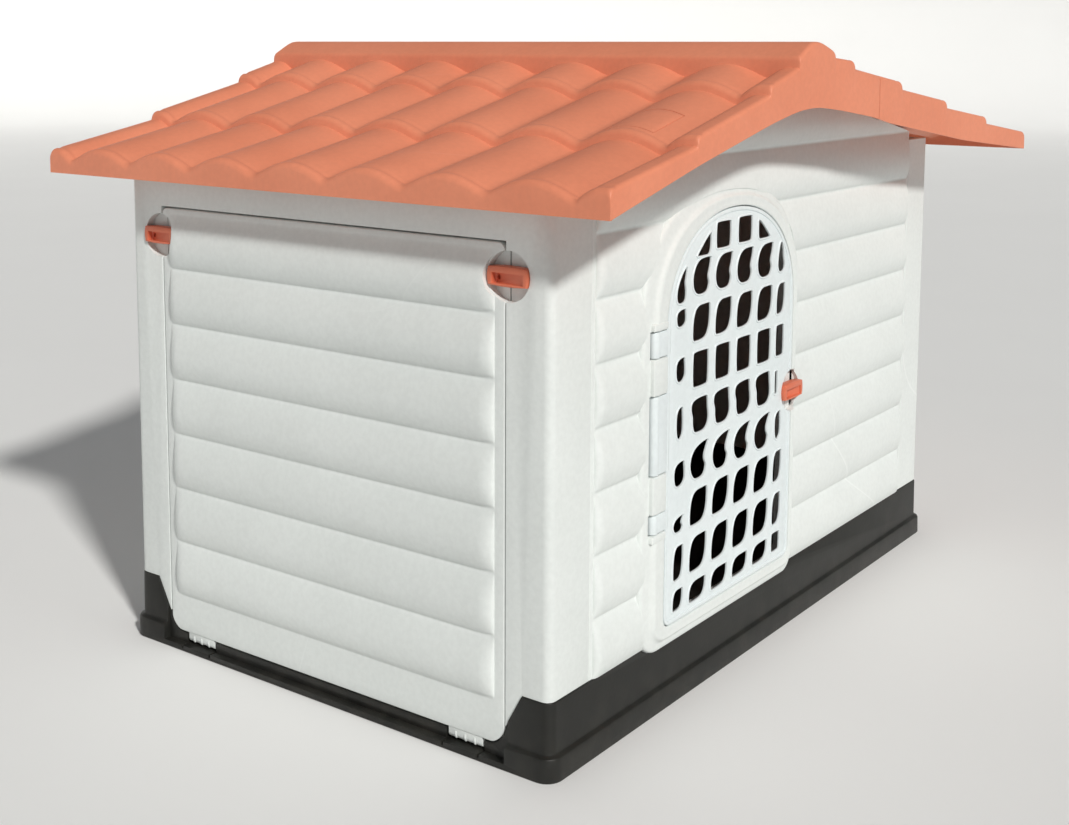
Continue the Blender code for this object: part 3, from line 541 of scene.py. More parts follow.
def roof_under(x):
    low = [(-0.60, 0.593), (-0.525, 0.608)] + [(a, b - STEP) for a, b in ((-0.369, 0.648), (-0.217, 0.694))]
    low += [(-0.149, 0.711), (RIDGE_X, 0.716), (-0.058, 0.7145)]
    low += [(a, b - STEP) for a, b in RIGHT_LIPS[:-1]] + [(0.70, 0.597)]
    for (x0, z0), (x1, z1) in zip(low, low[1:]):
        if x0 <= x <= x1:
            return z0 + (z1 - z0) * (x - x0) / (x1 - x0) - TILE_A - 0.004 - (0.0028 if x < 0 else 0.0055)
    return 0.56


GX0, GX1 = XL + CORNER_W + GAP / 2, XR - CORNER_W - 0.003
top_line = [(x, roof_under(x - WX)) for x in (GX0 - 0.02, WX - 0.369, WX - 0.217, WX - 0.149, WX + RIDGE_X, WX - 0.058,
                                              WX - 0.004, WX + 0.141, WX + 0.298, GX1 + 0.02)]
CASE_OUT = arch(WX + CASE_CX, CASE_HALF, CASE_BOT, CASE_TOP, CASE_RISE, (0.035, 0.022), 2.3)
OPENING = arch(WX + DOOR_CX, DOOR_HALF + 0.0012, DOOR_BOT - 0.0012, DOOR_TOP + 0.0012, DOOR_RISE, (0.0122, 0.0122), 2.15)


def gable_sheet(name, sgn):
    z0 = BASE_TOP + GAP
    zs, rel = zip(*board_stations(z0, 0.715, BOARD_Z0))
    zs, rel = np.array(zs), np.array(rel)
    f0, f1 = GX0 + 0.006, GX1 - 0.006
    us = fine_ends(GX0, GX1, f0, f1, 0.010, 0.030)
    fade = end_fade(us - f0, 0.010) * end_fade(f1 - us, 0.010)
    h = RELIEF * rel[None, :] * fade[:, None]
    h = np.maximum(h, 0.0)
    # eased vertical edges at the seams
    dd = np.minimum(us - GX0, GX1 - us)
    h -= np.where(dd < 0.0016, 0.0014 * (1 - np.sqrt(np.clip(1 - (1 - dd / 0.0016) ** 2, 0, 1))), 0)[:, None]
    ob = relief_sheet(name, 'XZ', us, zs, h, sgn * HALF_D, sgn * (HALF_D - WALL_T), sgn, scratch)
    above = [(GX1 + 0.02, 0.9), (GX0 - 0.02, 0.9)] + top_line
    carve(ob, [prism("above", above, sgn * 0.28, sgn * 0.34, 'XZ', scratch)])
    return ob


# ------------------------------------------------------------------ front gable with its door casing
def casing():
    prof = [(0.0, -0.0015), (0.0, 0.0022), (0.018, 0.0040), (0.045, 0.0055), (0.085, 0.0063), (0.15, 0.0067), (0.24, 0.0070),
            (0.34, 0.0073), (0.41, 0.0078), (0.455, 0.0088), (0.49, 0.0101), (0.525, 0.0111), (0.56, 0.0115),
            (0.60, 0.0115), (0.66, 0.0112), (0.74, 0.0110), (0.85, 0.0110), (0.955, 0.0110), (0.982, 0.0106), (0.996, 0.0097),
            (1.0, 0.0086), (1.0, -WALL_T + 0.0006), (0.99, -WALL_T), (0.05, -WALL_T), (0.04, -WALL_T + 0.0008)]
    loops = []
    for s, h in prof:
        cx = (1 - s) * CASE_CX + s * DOOR_CX
        half = (1 - s) * CASE_HALF + s * (DOOR_HALF + 0.0012)
        bot = (1 - s) * CASE_BOT + s * (DOOR_BOT - 0.0012)
        top = (1 - s) * CASE_TOP + s * (DOOR_TOP + 0.0012)
        rise = (1 - s) * CASE_RISE + s * DOOR_RISE
        rl = (1 - s) * 0.035 + s * 0.0122
        rr = (1 - s) * 0.022 + s * 0.0122
        pw = (1 - s) * 2.3 + s * 2.15
        loops.append([(u, -HALF_D - h, v) for u, v in arch(WX + cx, half, bot, top, rise, (rl, rr), pw)])
    return ring_loft("casing", loops, scratch)


def circle_cutter(name, centre, axis, r, depth_to, out=0.02, seg=72, flare=0.0012):
    """Round dish: straight wall with an eased rim at the face."""
    return lathe(name, centre, axis, [(-0.0, r), (depth_to - flare, r), (depth_to - flare * 0.3, r + flare * 0.3),
                                      (depth_to, r + flare), (depth_to + out, r + flare)], seg, scratch)


DL = WX + DLATCH_X
EDGE = WX + DOOR_CX + DOOR_HALF


def door_dish(tag):
    # floor of the dish is behind the leaf's face
    return circle_cutter("ddish" + tag, (DL, DOOR_FACE + DISH_D, DLATCH_Z), (0, -1, 0), DISH_R, DISH_D + 0.0002)


sheet = gable_sheet("front_sheet", -1)
inset = [tuple(p) for p in offset_loop(np.array(CASE_OUT), 0.006)]
carve(sheet, [prism("under_casing", inset, -0.36, -0.28, 'XZ', scratch)])
case = casing()
wells = []
for k, (z0, z1) in enumerate(KNUCKLES):
    wells.append(box("well%d" % k, (WX + HINGE_X - 0.0100, -0.36, z0 - 0.0010), (WX + DOOR_CX - DOOR_HALF + 0.004, -0.3112, z1 + 0.0010), 0, 1, scratch))
wells.append(box("dwell", (EDGE - 0.01, -0.36, DLATCH_Z - 0.0086), (DL + 0.0098, -0.28, DLATCH_Z + 0.0086), 0, 1, scratch))
wells.append(door_dish("a"))
carve(case, wells)
carve(sheet, [box("dwell2", (EDGE - 0.01, -0.36, DLATCH_Z - 0.0086), (DL + 0.0098, -0.28, DLATCH_Z + 0.0086), 0, 1, scratch), door_dish("b")])

# blocks of the casing that hold the hinge rod between the door's knuckles
blocks = []
for k, (z0, z1) in enumerate(((0.3618, 0.4012), (0.2313, 0.2727), (0.4318, 0.4400), (0.1995, 0.2077))):
    blocks.append(box("block%d" % k, (WX + HINGE_X - 0.0085, CASE_FACE - 0.0008, z0), (WX + DOOR_CX - DOOR_HALF - 0.0014, -0.3130, z1), 0.0014, 3, scratch))
front = merge("front", [sheet, case] + blocks)
finish_piece(front, "front_gable", WHITE, "housing", ["gable_wall_front"], 30)

rear = gable_sheet("rear", 1)
finish_piece(rear, "rear_gable", WHITE, "housing", ["gable_wall_rear"], 30)


# ------------------------------------------------------------------ posts, top rail and the far side wall
def corner_outline(sx, sy, y_in, width, r=0.0100, seg=12):
    xo = XL if sx < 0 else XR
    yo = sy * HALF_D
    ix, iy = -sx, -sy
    arc = []
    for k in range(seg + 1):
        a = math.pi / 2 * k / seg
        arc.append((xo + ix * r * (1 - math.cos(a)), yo + iy * r * (1 - math.sin(a))))
    pts = [(xo, sy * y_in)] + arc
    # eased edge along the seam with the gable
    pts += [(xo + ix * (width - 0.0012), yo), (xo + ix * (width - 0.0004), yo + iy * 0.0005), (xo + ix * width, yo + iy * 0.0014)]
    pts += [(xo + ix * width, yo + iy * (WALL_T + GAP)), (xo + ix * (width + 0.022), yo + iy * (WALL_T + GAP)),
            (xo + ix * (width + 0.022), yo + iy * (WALL_T + 0.0043)), (xo + ix * (WALL_T + 0.004), yo + iy * (WALL_T + 0.0043)),
            (xo + ix * WALL_T, yo + iy * (WALL_T + 0.0083)), (xo + ix * WALL_T, sy * y_in)]
    return pts


left_frame = bevelled(copy_of("side_frame_left"), 0.0011, 3, 30)
finish_piece(left_frame, "panel_side_frame", WHITE, "housing", ["side_frame_left"], 34)

z0 = BASE_TOP + GAP
zs, rel = zip(*board_stations(z0, SIDE_TOP_R, BOARD_Z0))
zs, rel = np.array(zs), np.array(rel)
ye = HALF_D - 0.060
f0, f1 = -ye + 0.004, ye - 0.004
us = fine_ends(-ye, ye, f0, f1, 0.010, 0.030)
fade = end_fade(us - f0, 0.010) * end_fade(f1 - us, 0.010)
h = np.maximum(RELIEF * rel[None, :] * fade[:, None], 0)
side_sheet = relief_sheet("side_sheet", 'YZ', us, zs, h, XR, XR - WALL_T, 1, scratch)
posts = [prism("rpost%d" % k, corner_outline(1, s, HALF_D - 0.0605, CORNER_W + 0.003 - GAP / 2), z0, SIDE_TOP_R, 'XY', scratch, 0.0)
         for k, s in enumerate((-1, 1))]
far_side = merge("far_side", [side_sheet] + posts)
for sy in (-1, 1):
    x = XR - CORNER_W - 0.003 - 0.011
finish_piece(far_side, "far_side_wall", WHITE, "housing", ["side_wall_right"], 30)


# ------------------------------------------------------------------ fold-down panel
def rounded(points, n=10):
    out = []
    m = len(points)
    for i in range(m):
        u, v, r = points[i]
        if r <= 0:
            out.append((u, v))
            continue
        p = Vector((u, v))
        a = (Vector(points[i - 1][:2]) - p).normalized()
        b = (Vector(points[(i + 1) % m][:2]) - p).normalized()
        half = a.angle(b) / 2
        t = r / math.tan(half)
        c = p + (a + b).normalized() * (r / math.sin(half))
        s, e = p + a * t - c, p + b * t - c
        ang0 = math.atan2(s.y, s.x)
        da = (math.atan2(e.y, e.x) - ang0 + math.pi) % (2 * math.pi) - math.pi
        for k in range(n + 1):
            w = ang0 + da * k / n
            out.append((c.x + r * math.cos(w), c.y + r * math.sin(w)))
    return out


PF_LO, PF_HI, PF_W = 0.0682, 0.5330, 0.0175
zs, rel = zip(*board_stations(PF_LO - 0.004, PF_HI, PF_LO))
zs = [PANEL_BOT, PANEL_BOT + 0.0003, PANEL_BOT + 0.0008, PANEL_BOT + 0.0016, 0.034, 0.048, 0.058] + list(zs) + \
     [PF_HI + 0.0015, PANEL_TOP - 0.0016, PANEL_TOP - 0.0008, PANEL_TOP - 0.0003, PANEL_TOP]
rel = [0.0] * 7 + list(rel) + [0.0] * 5
zs, rel = np.array(zs), np.array(rel)
rel = np.where(zs < PF_LO - 0.0005, 0.0, rel)
# the last board fades out under the top edge
rel = rel * np.where(zs > 0.515, np.clip((PF_HI - zs) / (PF_HI - 0.515), 0, 1) ** 0.6, 1.0)
us = fine_ends(-PANEL_HALF, PANEL_HALF, -0.2435, 0.2435, PF_W, 0.030)
fade = end_fade(us + 0.2435, PF_W) * end_fade(0.2435 - us, PF_W)
h = np.maximum(RELIEF * rel[None, :] * fade[:, None], 0)
for i, u in enumerate(us):
    for j, z in enumerate(zs):
        d = min(PANEL_HALF - abs(u), z - PANEL_BOT, PANEL_TOP - z)
        if d < 0.0016:
            h[i, j] -= 0.0014 * (1 - math.sqrt(max(0.0, 1 - (1 - d / 0.0016) ** 2)))
panel_sheet = relief_sheet("panel_sheet", 'YZ', us, zs, h, XL, XL + PANEL_IN, -1, scratch)
outline = rounded([(-PANEL_HALF - 1e-5, PANEL_BOT - 1e-5, 0.022), (PANEL_HALF + 1e-5, PANEL_BOT - 1e-5, 0.022),
                   (PANEL_HALF + 1e-5, PANEL_TOP + 1e-5, 0.009), (-PANEL_HALF - 1e-5, PANEL_TOP + 1e-5, 0.009)])
carve(panel_sheet, [prism("outline", outline, XL - 0.03, XL + 0.05, 'YZ', scratch)], 'INTERSECT')
cutters = []
for s in (-1, 1):
    cutters.append(circle_cutter("pd%d" % s, (XL + DISH_D, s * LATCH_Y, LATCH_Z), (-1, 0, 0), DISH_R, DISH_D + 0.0002))
carve(panel_sheet, cutters)
bits = [panel_sheet]
for s in (-1, 1):
    y0, y1 = sorted((s * (PANEL_HALF - 0.012), s * (LATCH_Y + 0.0088)))
    tab = box("tab%d" % s, (XL + DISH_D, y0, LATCH_Z - 0.0072), (XL + PANEL_IN - 0.0001, y1, LATCH_Z + 0.0072), 0.0004, 2, scratch)
    carve(tab, [lathe("th", (XL - 0.02, s * LATCH_Y, LATCH_Z), (1, 0, 0), [(0, SPINDLE_R + 0.0005), (0.05, SPINDLE_R + 0.0005)], 24, scratch)])
    bits.append(tab)
    # hinge lug: rounded barrel on a web, with raised ribs on its front
    y0, y1 = sorted((s * LUG_Y0, s * LUG_Y1))
    ax = XL + PANEL_AX
    prof = []
    for k in range(25):
        a = math.pi + math.pi * k / 24
        prof.append((ax + 0.0055 * math.cos(a), PANEL_AZ + 0.0055 * math.sin(a)))
    prof += [(ax + 0.0055, PANEL_BOT + 0.0055), (ax - 0.0055, PANEL_BOT + 0.0055)]
    lug = prism("lug%d" % s, prof, y0, y1, 'XZ', scratch, 0.0006)
    carve(lug, [lathe("lb", (ax, y0 - 0.01, PANEL_AZ), (0, 1, 0), [(0, 0.0024), (0.08, 0.0024)], 24, scratch)])
    bits.append(lug)
    for k in range(3):
        yc = y0 + (y1 - y0) * (0.22 + 0.28 * k)
        rib = []
        for q in range(17):
            a = math.pi * 0.72 + math.pi * 0.52 * q / 16
            rib.append((ax + 0.0066 * math.cos(a), PANEL_AZ + 0.0066 * math.sin(a)))
        rib += [(ax - 0.0030, PANEL_AZ - 0.0030), (ax - 0.0030, PANEL_BOT + 0.0062), (ax - 0.0062, PANEL_BOT + 0.0062)]
        bits.append(prism("rib%d_%d" % (s, k), rib, yc - 0.0011, yc + 0.0011, 'XZ', scratch, 0.0003))
panel = merge("panel", bits)
finish_piece(panel, "fold_panel", WHITE, "panel", ["fold_down_panel"], 30)


# ------------------------------------------------------------------ roof
def barrel(y):
    w = abs(math.cos(math.pi * y / TILE_P))
    e = 0.11
    return (math.sqrt(w * w + e * e) - e) / (math.sqrt(1 + e * e) - e)


def fascia_z(x):
    xs_, zs_ = zip(*FASCIA)
    # eased so that the lower edge sweeps under the ridge in one curve
    return float(np.mean([np.interp(x + d, xs_, zs_) for d in (-0.018, -0.009, 0.0, 0.009, 0.018)])) if -0.50 < x < 0.60 else float(np.interp(x, xs_, zs_))


HALF7 = 3.5 * TILE_P


def y_stations():
    """(y, kind, value): the rake edge rounds over into the fascia."""
    out = []
    for k in range(7 * 18 + 1):
        out.append(-HALF7 + TILE_P * k / 18)
    edge = [0.003, 0.007, 0.011, 0.015, 0.019, 0.023, 0.027, 0.031]
    r = 0.0048
    top = ROOF_Y - HALF7
    arc = [(top - r + r * math.sin(a), -r * (1 - math.cos(a))) for a in (0.0, 0.35, 0.7, 1.05, 1.35, math.pi / 2)]
    right = [(HALF7 + e, roll(e)) for e in edge if e < top - r - 0.001] + [(HALF7 + a, roll(top - r) + d) for a, d in arc]
    mid = [(y, TILE_A * barrel(y)) for y in out]
    left = [(-y, z) for y, z in reversed(right)]
    return left + mid + right


def roll(e):
    """Rise of the rake edge from its valley."""
    s = min(1.0, e / 0.024)
    return TILE_A * 0.80 * (1 - (1 - s) ** 1.7)


YS = y_stations()
EDGE_N = (len(YS) - (7 * 18 + 1)) // 2


def row_profile(x_lip, z_lip, x_top, z_top, sgn):
    """Stations of one row of tiles from its lower lip upwards; sgn is the direction of upwards in x."""
    L = abs(x_top - x_lip)
    lip = [(0.0, -0.0066), (0.00025, -0.0048), (0.0009, -0.0030), (0.0020, -0.0015), (0.0034, -0.0005), (0.0052, 0.0),
           (0.0072, 0.0001), (0.0088, -0.0003), (0.0104, -0.0008), (0.0124, -0.0008), (0.0146, -0.0004), (0.0170, 0.0)]
    st = []
    for d, dz in lip:
        st.append((x_lip + sgn * d, z_lip + (z_top - z_lip) * d / L + dz, False))
    n = 7
    for k in range(1, n):
        d = 0.017 + (L - 0.017 - 0.0008) * k / n
        st.append((x_lip + sgn * d, z_lip + (z_top - z_lip) * d / L, False))
    st.append((x_top - sgn * 0.0008, z_top, False))
    return st


def all_stations():
    left = []
    rows = [(-0.525, 0.608, -0.369, 0.639), (-0.369, 0.648, -0.217, 0.685), (-0.217, 0.694, RIDGE_X - 0.045, 0.7130)]
    for a in rows:
        left += row_profile(*a, 1)
    cap = [(-0.1490, 0.7150), (-0.1489, 0.7178), (-0.1483, 0.7200), (-0.1470, 0.7217), (-0.1450, 0.7230), (-0.1400, 0.7256), (-0.1340, 0.7288),
           (-0.1270, 0.7324), (-0.1210, 0.7352), (-0.1150, 0.7371), (-0.1090, 0.7379), (-0.1040, 0.7380), (-0.0980, 0.7378),
           (-0.0920, 0.7370), (-0.0850, 0.7355), (-0.0770, 0.7333), (-0.0700, 0.7312), (-0.0640, 0.7293), (-0.0612, 0.7281),
           (-0.0597, 0.7267), (-0.0590, 0.7245)]
    ridge = [(x, z, True) for x, z in cap]
    right = [(-0.0582, 0.7232, False)]
    prev = (-0.058, 0.7235)
    for i, (x, z) in enumerate(RIGHT_LIPS):
        seg = row_profile(x, z, prev[0], prev[1], -1)
        right += list(reversed(seg))
        prev = (x, z - STEP)
    return left, ridge, right


def roof_grid(name, sts, eave=None, tongue=()):
    cols = []
    for x, z, flat in sts:
        col = []
        for i, (y, dz) in enumerate(YS):
            if flat:
                over = max(0.0, abs(y) - (ROOF_Y - 0.0048))
                col.append((WX + x, y, z - (0.0048 - math.sqrt(max(0.0, 0.0048 ** 2 - over ** 2)))))
            else:
                col.append((WX + x, y, z - TILE_A + dz))
        f = fascia_z(x)
        a, b = col[0], col[-1]
        lo = [(a[0], -ROOF_Y, f), (a[0], -ROOF_Y, f + (a[2] - f) * 0.5)]
        hi = [(a[0], ROOF_Y, f + (b[2] - f) * 0.5), (a[0], ROOF_Y, f)]
        cols.append(lo + col + hi)
    n = len(cols[0])

    def skirt(base):
        x = base[2][0]
        f = fascia_z(x - WX)
        return [(p[0], p[1], f) for p in base], [(p[0], p[1], f + (p[2] - f) * 0.5) for p in base]
    if eave == 'lo':
        s0, s1 = skirt(cols[0])
        cols = [s0, s1] + cols
    elif eave == 'hi':
        s0, s1 = skirt(cols[-1])
        cols = cols + [s1, s0]
    if tongue:
        tc = []
        for x, dz in tongue:
            base = cols[0]
            src = [p for p in base]
            tc.append([(WX + x, max(-ROOF_Y + 0.006, min(ROOF_Y - 0.006, p[1])),
                        max(p[2], base[8][2] - 0.020) + dz if 2 <= i < n - 2 else base[6][2] + dz) for i, p in enumerate(src)])
        cols = tc + cols
    vs = [p for c in cols for p in c]
    fs = []
    for i in range(len(cols) - 1):
        for k in range(n - 1):
            fs.append((i * n + k, (i + 1) * n + k, (i + 1) * n + k + 1, i * n + k + 1))
    ob = from_data(name, vs, fs, scratch, False)
    bm = bmesh.new()
    bm.from_mesh(ob.data)
    bmesh.ops.remove_doubles(bm, verts=bm.verts, dist=8e-6)
    bmesh.ops.dissolve_degenerate(bm, edges=bm.edges, dist=8e-6)
    bmesh.ops.recalc_face_normals(bm, faces=bm.faces)
    if sum(f.normal.z * f.calc_area() for f in bm.faces) < 0:
        bmesh.ops.reverse_faces(bm, faces=bm.faces)
    bm.to_mesh(ob.data)
    bm.free()
    so = ob.modifiers.new("shell", 'SOLIDIFY')
    so.thickness = 0.0030
    so.offset = -1
    so.use_even_offset = False
    bpy.context.view_layer.update()
    return evaluated(ob)


st_left, st_ridge, st_right = all_stations()
seq = [(x, z, f) for x, z, f in st_left + st_ridge + st_right]
# the stations of the long slope run downhill, so the order along x is already ascending
seq.sort(key=lambda s: s[0])
before = [s for s in seq if s[0] < SPLIT_X - 0.0014]
after = [s for s in seq if s[0] > SPLIT_X + 0.0014]
(xa, za, _), (xb, zb, _) = before[-1], after[0]
zsplit = za + (zb - za) * (SPLIT_X - xa) / (xb - xa)
roof_l = roof_grid("roof_l", before + [(SPLIT_X - 0.0012, zsplit, False), (SPLIT_X - 0.0006, zsplit - 0.0006, False)], 'lo')
roof_r = roof_grid("roof_r", [(SPLIT_X + 0.0006, zsplit - 0.0010, False), (SPLIT_X + 0.0014, zsplit - 0.0002, False)] + after, 'hi')
strip = [(SPLIT_X - 0.012, zsplit - 0.0042, False), (SPLIT_X + 0.010, zsplit - 0.0054, False)]
lap = roof_grid("lap", strip)
bm = bmesh.new()
bm.from_mesh(lap.data)
for v in bm.verts:
    v.co.y = max(-ROOF_Y + 0.0042, min(ROOF_Y - 0.0042, v.co.y))
bm.to_mesh(lap.data)
bm.free()
carve(roof_l, [box("flap_hole", (WX + FLAP_X0 - 0.0012, FLAP_Y0 - 0.0012, 0.5), (WX + FLAP_X1 + 0.0012, FLAP_Y1 + 0.0012, 0.9), 0, 1, scratch)])
roof_r = merge("roof_r", [roof_r, lap])
finish_piece(roof_l, "roof_short_slope", TERRA, "housing", ["roof_shell_left"], 50)
finish_piece(roof_r, "roof_long_slope", TERRA, "housing", ["roof_shell_right"], 50)

# vent flap, shaped like the tile it sits in
fx = np.linspace(FLAP_X0, FLAP_X1, 9)
fy = np.linspace(FLAP_Y0, FLAP_Y1, 21)
line = [(s[0], s[1]) for s in st_left]
lx, lz = zip(*line)


def flap_grid(dz):
    out = []
    for i, x in enumerate(fx):
        for j, y in enumerate(fy):
            e = min(x - FLAP_X0, FLAP_X1 - x, y - FLAP_Y0, FLAP_Y1 - y)
            ease = 0.0010 * max(0.0, 1 - e / 0.0022) if dz > -0.001 else 0.0
            out.append((WX + x, y, float(np.interp(x, lx, lz)) - TILE_A + TILE_A * barrel(y) + dz - ease))
    return out


nf, mf = len(fx), len(fy)
vs = flap_grid(0.0007) + flap_grid(-0.0026)
fs = []
B = nf * mf
for i in range(nf - 1):
    for j in range(mf - 1):
        a, b, c, d = i * mf + j, (i + 1) * mf + j, (i + 1) * mf + j + 1, i * mf + j + 1
        fs += [(a, b, c, d), (B + d, B + c, B + b, B + a)]
for i in range(nf - 1):
    for j in (0, mf - 1):
        a, b = i * mf + j, (i + 1) * mf + j
        fs.append((a, b, B + b, B + a))
for j in range(mf - 1):
    for i in (0, nf - 1):
        a, b = i * mf + j, i * mf + j + 1
        fs.append((a, b, B + b, B + a))
flap = from_data("flap", vs, fs)
finish_piece(flap, "vent_flap_tile", TERRA, "vent_flap", ["roof_vent_flap"], 35)


# ------------------------------------------------------------------ base tray
def rrect(x0, x1, y0, y1, r, z, n=9):
    pts = []
    for cx, cy, a0 in ((x1 - r, y1 - r, 0), (x0 + r, y1 - r, 90), (x0 + r, y0 + r, 180), (x1 - r, y0 + r, 270)):
        for k in range(n):
            a = math.radians(a0 + 90 * k / (n - 1))
            pts.append((cx + r * math.cos(a), cy + r * math.sin(a), z))
    return pts


def tray():
    def out(d, z, r=0.011):
        return rrect(XL - d, XR + d, -HALF_D - d, HALF_D + d, max(0.002, r + d), z)

    def inn(z, r=0.006, dx=0.020, d=0.0115):
        return rrect(XL + dx, XR - d, -HALF_D + d, HALF_D - d, r, z)
    rings = [inn(0.0060, 0.004, 0.030, 0.020), inn(0.0, 0.004, 0.030, 0.020), out(SKIRT_OUT - 0.0008, 0.0), out(SKIRT_OUT, 0.0010), out(SKIRT_OUT - 0.0006, SKIRT_H - 0.0030), out(SKIRT_OUT - 0.0016, SKIRT_H - 0.0010),
             out(SKIRT_OUT - 0.0036, SKIRT_H), out(0.0040, SKIRT_H + 0.0004), out(0.0026, SKIRT_H + 0.0014), out(0.0018, SKIRT_H + 0.0036), out(0.0015, 0.060),
             out(0.0012, BASE_TOP - 0.0016), out(0.0008, BASE_TOP - 0.0005), out(-0.0004, BASE_TOP),
             rrect(XL + 0.019, XR - 0.0108, -HALF_D + 0.0108, HALF_D - 0.0108, 0.0065, BASE_TOP), inn(BASE_TOP - 0.0008), inn(FLOOR_TOP + 0.003), rrect(XL + 0.022, XR - 0.0135, -HALF_D + 0.0135, HALF_D - 0.0135, 0.004, FLOOR_TOP)]
    n = len(rings[0])
    vs = [p for r in rings for p in r]
    fs = []
    for i in range(len(rings) - 1):
        for k in range(n):
            k2 = (k + 1) % n
            fs.append((i * n + k, i * n + k2, (i + 1) * n + k2, (i + 1) * n + k))
    fs.append(tuple(range(n - 1, -1, -1)))
    fs.append(tuple((len(rings) - 1) * n + k for k in range(n)))
    return from_data("tray", vs, fs, scratch)


base = tray()
half_mouth = [(0.2330, BASE_LIP), (0.2390, 0.0214), (0.2440, 0.0228), (0.2500, 0.0272), (0.2540, 0.0330), (0.2568, 0.0405), (0.2790, 0.0812), (0.2790, 0.20)]
mouth = half_mouth + [(-u, v) for u, v in reversed(half_mouth)]
cuts = [prism("mouth", mouth, XL - 0.05, XL + 0.0195, 'YZ', scratch),
        box("front", (XL - 0.05, -0.262, 0.0072), (XL + 0.0015, 0.262, 0.2), 0, 1, scratch)]
for s in (-1, 1):
    y0, y1 = sorted((s * (LUG_Y0 - 0.0025), s * (LUG_Y1 + 0.0025)))
    cuts.append(box("notch%d" % s, (XL - 0.05, y0, 0.0075), (XL + 0.0135, y1, 0.2), 0, 1, scratch))
    cuts.append(lathe("bore%d" % s, (XL + PANEL_AX, y0 - 0.0078, PANEL_AZ), (0, 1, 0), [(0, 0.0024), (y1 - y0 + 0.0156, 0.0024)], 20, scratch))
    for k, yy in enumerate((y0 - 0.0001, y1 - 0.0024)):
        cuts.append(box("slit%d_%d" % (s, k), (XL - 0.05, yy, 0.0035), (XL + 0.0035, yy + 0.0025, 0.0080), 0, 1, scratch))
CASE_CLR = arch(WX + CASE_CX, CASE_HALF + 0.0005, CASE_BOT - 0.0005, CASE_TOP, CASE_RISE, (0.0355, 0.0225), 2.3)
cuts.append(prism("step", CASE_CLR, -HALF_D - 0.03, -HALF_D + 0.0112, 'XZ', scratch))
# lip rounded about the panel's hinge axis
swing = [(-u, v) for u, v in reversed(half_mouth[:6])] + half_mouth[:6]
verts, faces, m = [], [], 16
for u, v in swing:
    reach = v - PANEL_AZ - 0.0003
    sect = [(reach * math.cos(math.pi / 2 * (1 + k / 12)), reach * math.sin(math.pi / 2 * (1 + k / 12))) for k in range(13)]
    sect += [(-0.050, 0.0), (-0.050, 0.060), (0.0, 0.060)]
    verts += [(XL + PANEL_AX + a, u, PANEL_AZ + b) for a, b in sect]
for i in range(len(swing) - 1):
    faces += [(i * m + k, i * m + (k + 1) % m, (i + 1) * m + (k + 1) % m, (i + 1) * m + k) for k in range(m)]
faces += [tuple(range(m)), tuple((len(swing) - 1) * m + k for k in range(m))]
cuts.append(from_data("swing", verts, faces, scratch))
carve(base, cuts)
base = bevelled(base, 0.0007, 2, 40)
finish_piece(base, "floor_tray", BLACK, "housing", ["base_tray"], 34)


# ------------------------------------------------------------------ door leaf
def spline(points, per=5):
    """Closed Catmull-Rom curve through the points."""
    P = [Vector(p) for p in points]
    n = len(P)
    out = []
    for i in range(n):
        a, b, c, d = P[i - 1], P[i], P[(i + 1) % n], P[(i + 2) % n]
        for k in range(per):
            t = k / per
            out.append(0.5 * ((2 * b) + (c - a) * t + (2 * a - 5 * b + 4 * c - d) * t * t + (3 * b - a - 3 * c + d) * t ** 3))
    return [(p.x, p.y) for p in out]


BEAN = [(0.86, 0.97), (0.97, 0.80), (0.86, 0.35), (0.70, -0.10), (0.80, -0.50), (0.62, -0.88), (0.15, -1.0), (-0.45, -0.96),
        (-0.86, -0.70), (-1.0, -0.20), (-0.90, 0.28), (-0.60, 0.70), (-0.10, 0.93)]
LEAFY = [(0.80, 0.98), (0.97, 0.84), (0.98, 0.25), (0.88, -0.35), (0.62, -0.80), (0.15, -0.97), (-0.66, -0.99), (-0.93, -0.86),
         (-0.96, -0.35), (-0.88, 0.25), (-0.66, 0.72), (-0.28, 0.94), (0.25, 0.98)]
KIDNEY = [(0.66, 0.98), (0.86, 0.80), (0.92, 0.30), (1.0, -0.20), (0.94, -0.62), (0.60, -0.93), (0.0, -1.0), (-0.60, -0.90),
          (-0.80, -0.50), (-0.84, 0.0), (-0.98, 0.42), (-0.86, 0.80), (-0.30, 0.96)]
COMMA = [(0.98, 1.0), (0.80, 0.62), (0.60, 0.25), (0.58, -0.08), (0.76, -0.42), (0.60, -0.84), (0.20, -1.0), (-0.45, -0.95),
         (-0.86, -0.60), (-1.0, -0.12), (-0.88, 0.34), (-0.50, 0.72), (0.20, 0.95)]
ROUND = [(0.80, 0.97), (0.95, 0.84), (0.98, 0.0), (0.92, -0.84), (0.72, -0.97), (0.0, -1.0), (-0.72, -0.97), (-0.93, -0.84),
         (-0.98, 0.0), (-0.92, 0.84), (-0.72, 0.97), (0.0, 1.0)]
LENS = [(0.75, 0.98), (0.90, 0.60), (0.98, 0.0), (0.90, -0.60), (0.40, -0.95), (-0.30, -1.0), (-0.80, -0.70), (-0.95, 0.0),
        (-0.80, 0.60), (-0.20, 0.93)]
TALL_L = [(0.92, 1.0), (0.86, 0.55), (0.66, 0.10), (0.80, -0.35), (0.72, -0.84), (0.25, -1.0), (-0.60, -0.98), (-0.96, -0.72),
          (-0.90, -0.25), (-0.45, 0.28), (0.25, 0.76)]
TALL_R = [(-0.30, 0.98), (0.25, 0.90), (0.62, 0.40), (0.72, -0.05), (0.98, -0.50), (0.80, -0.88), (0.10, -1.0), (-0.62, -0.92),
          (-0.98, -0.55), (-0.90, 0.0), (-0.66, 0.55)]
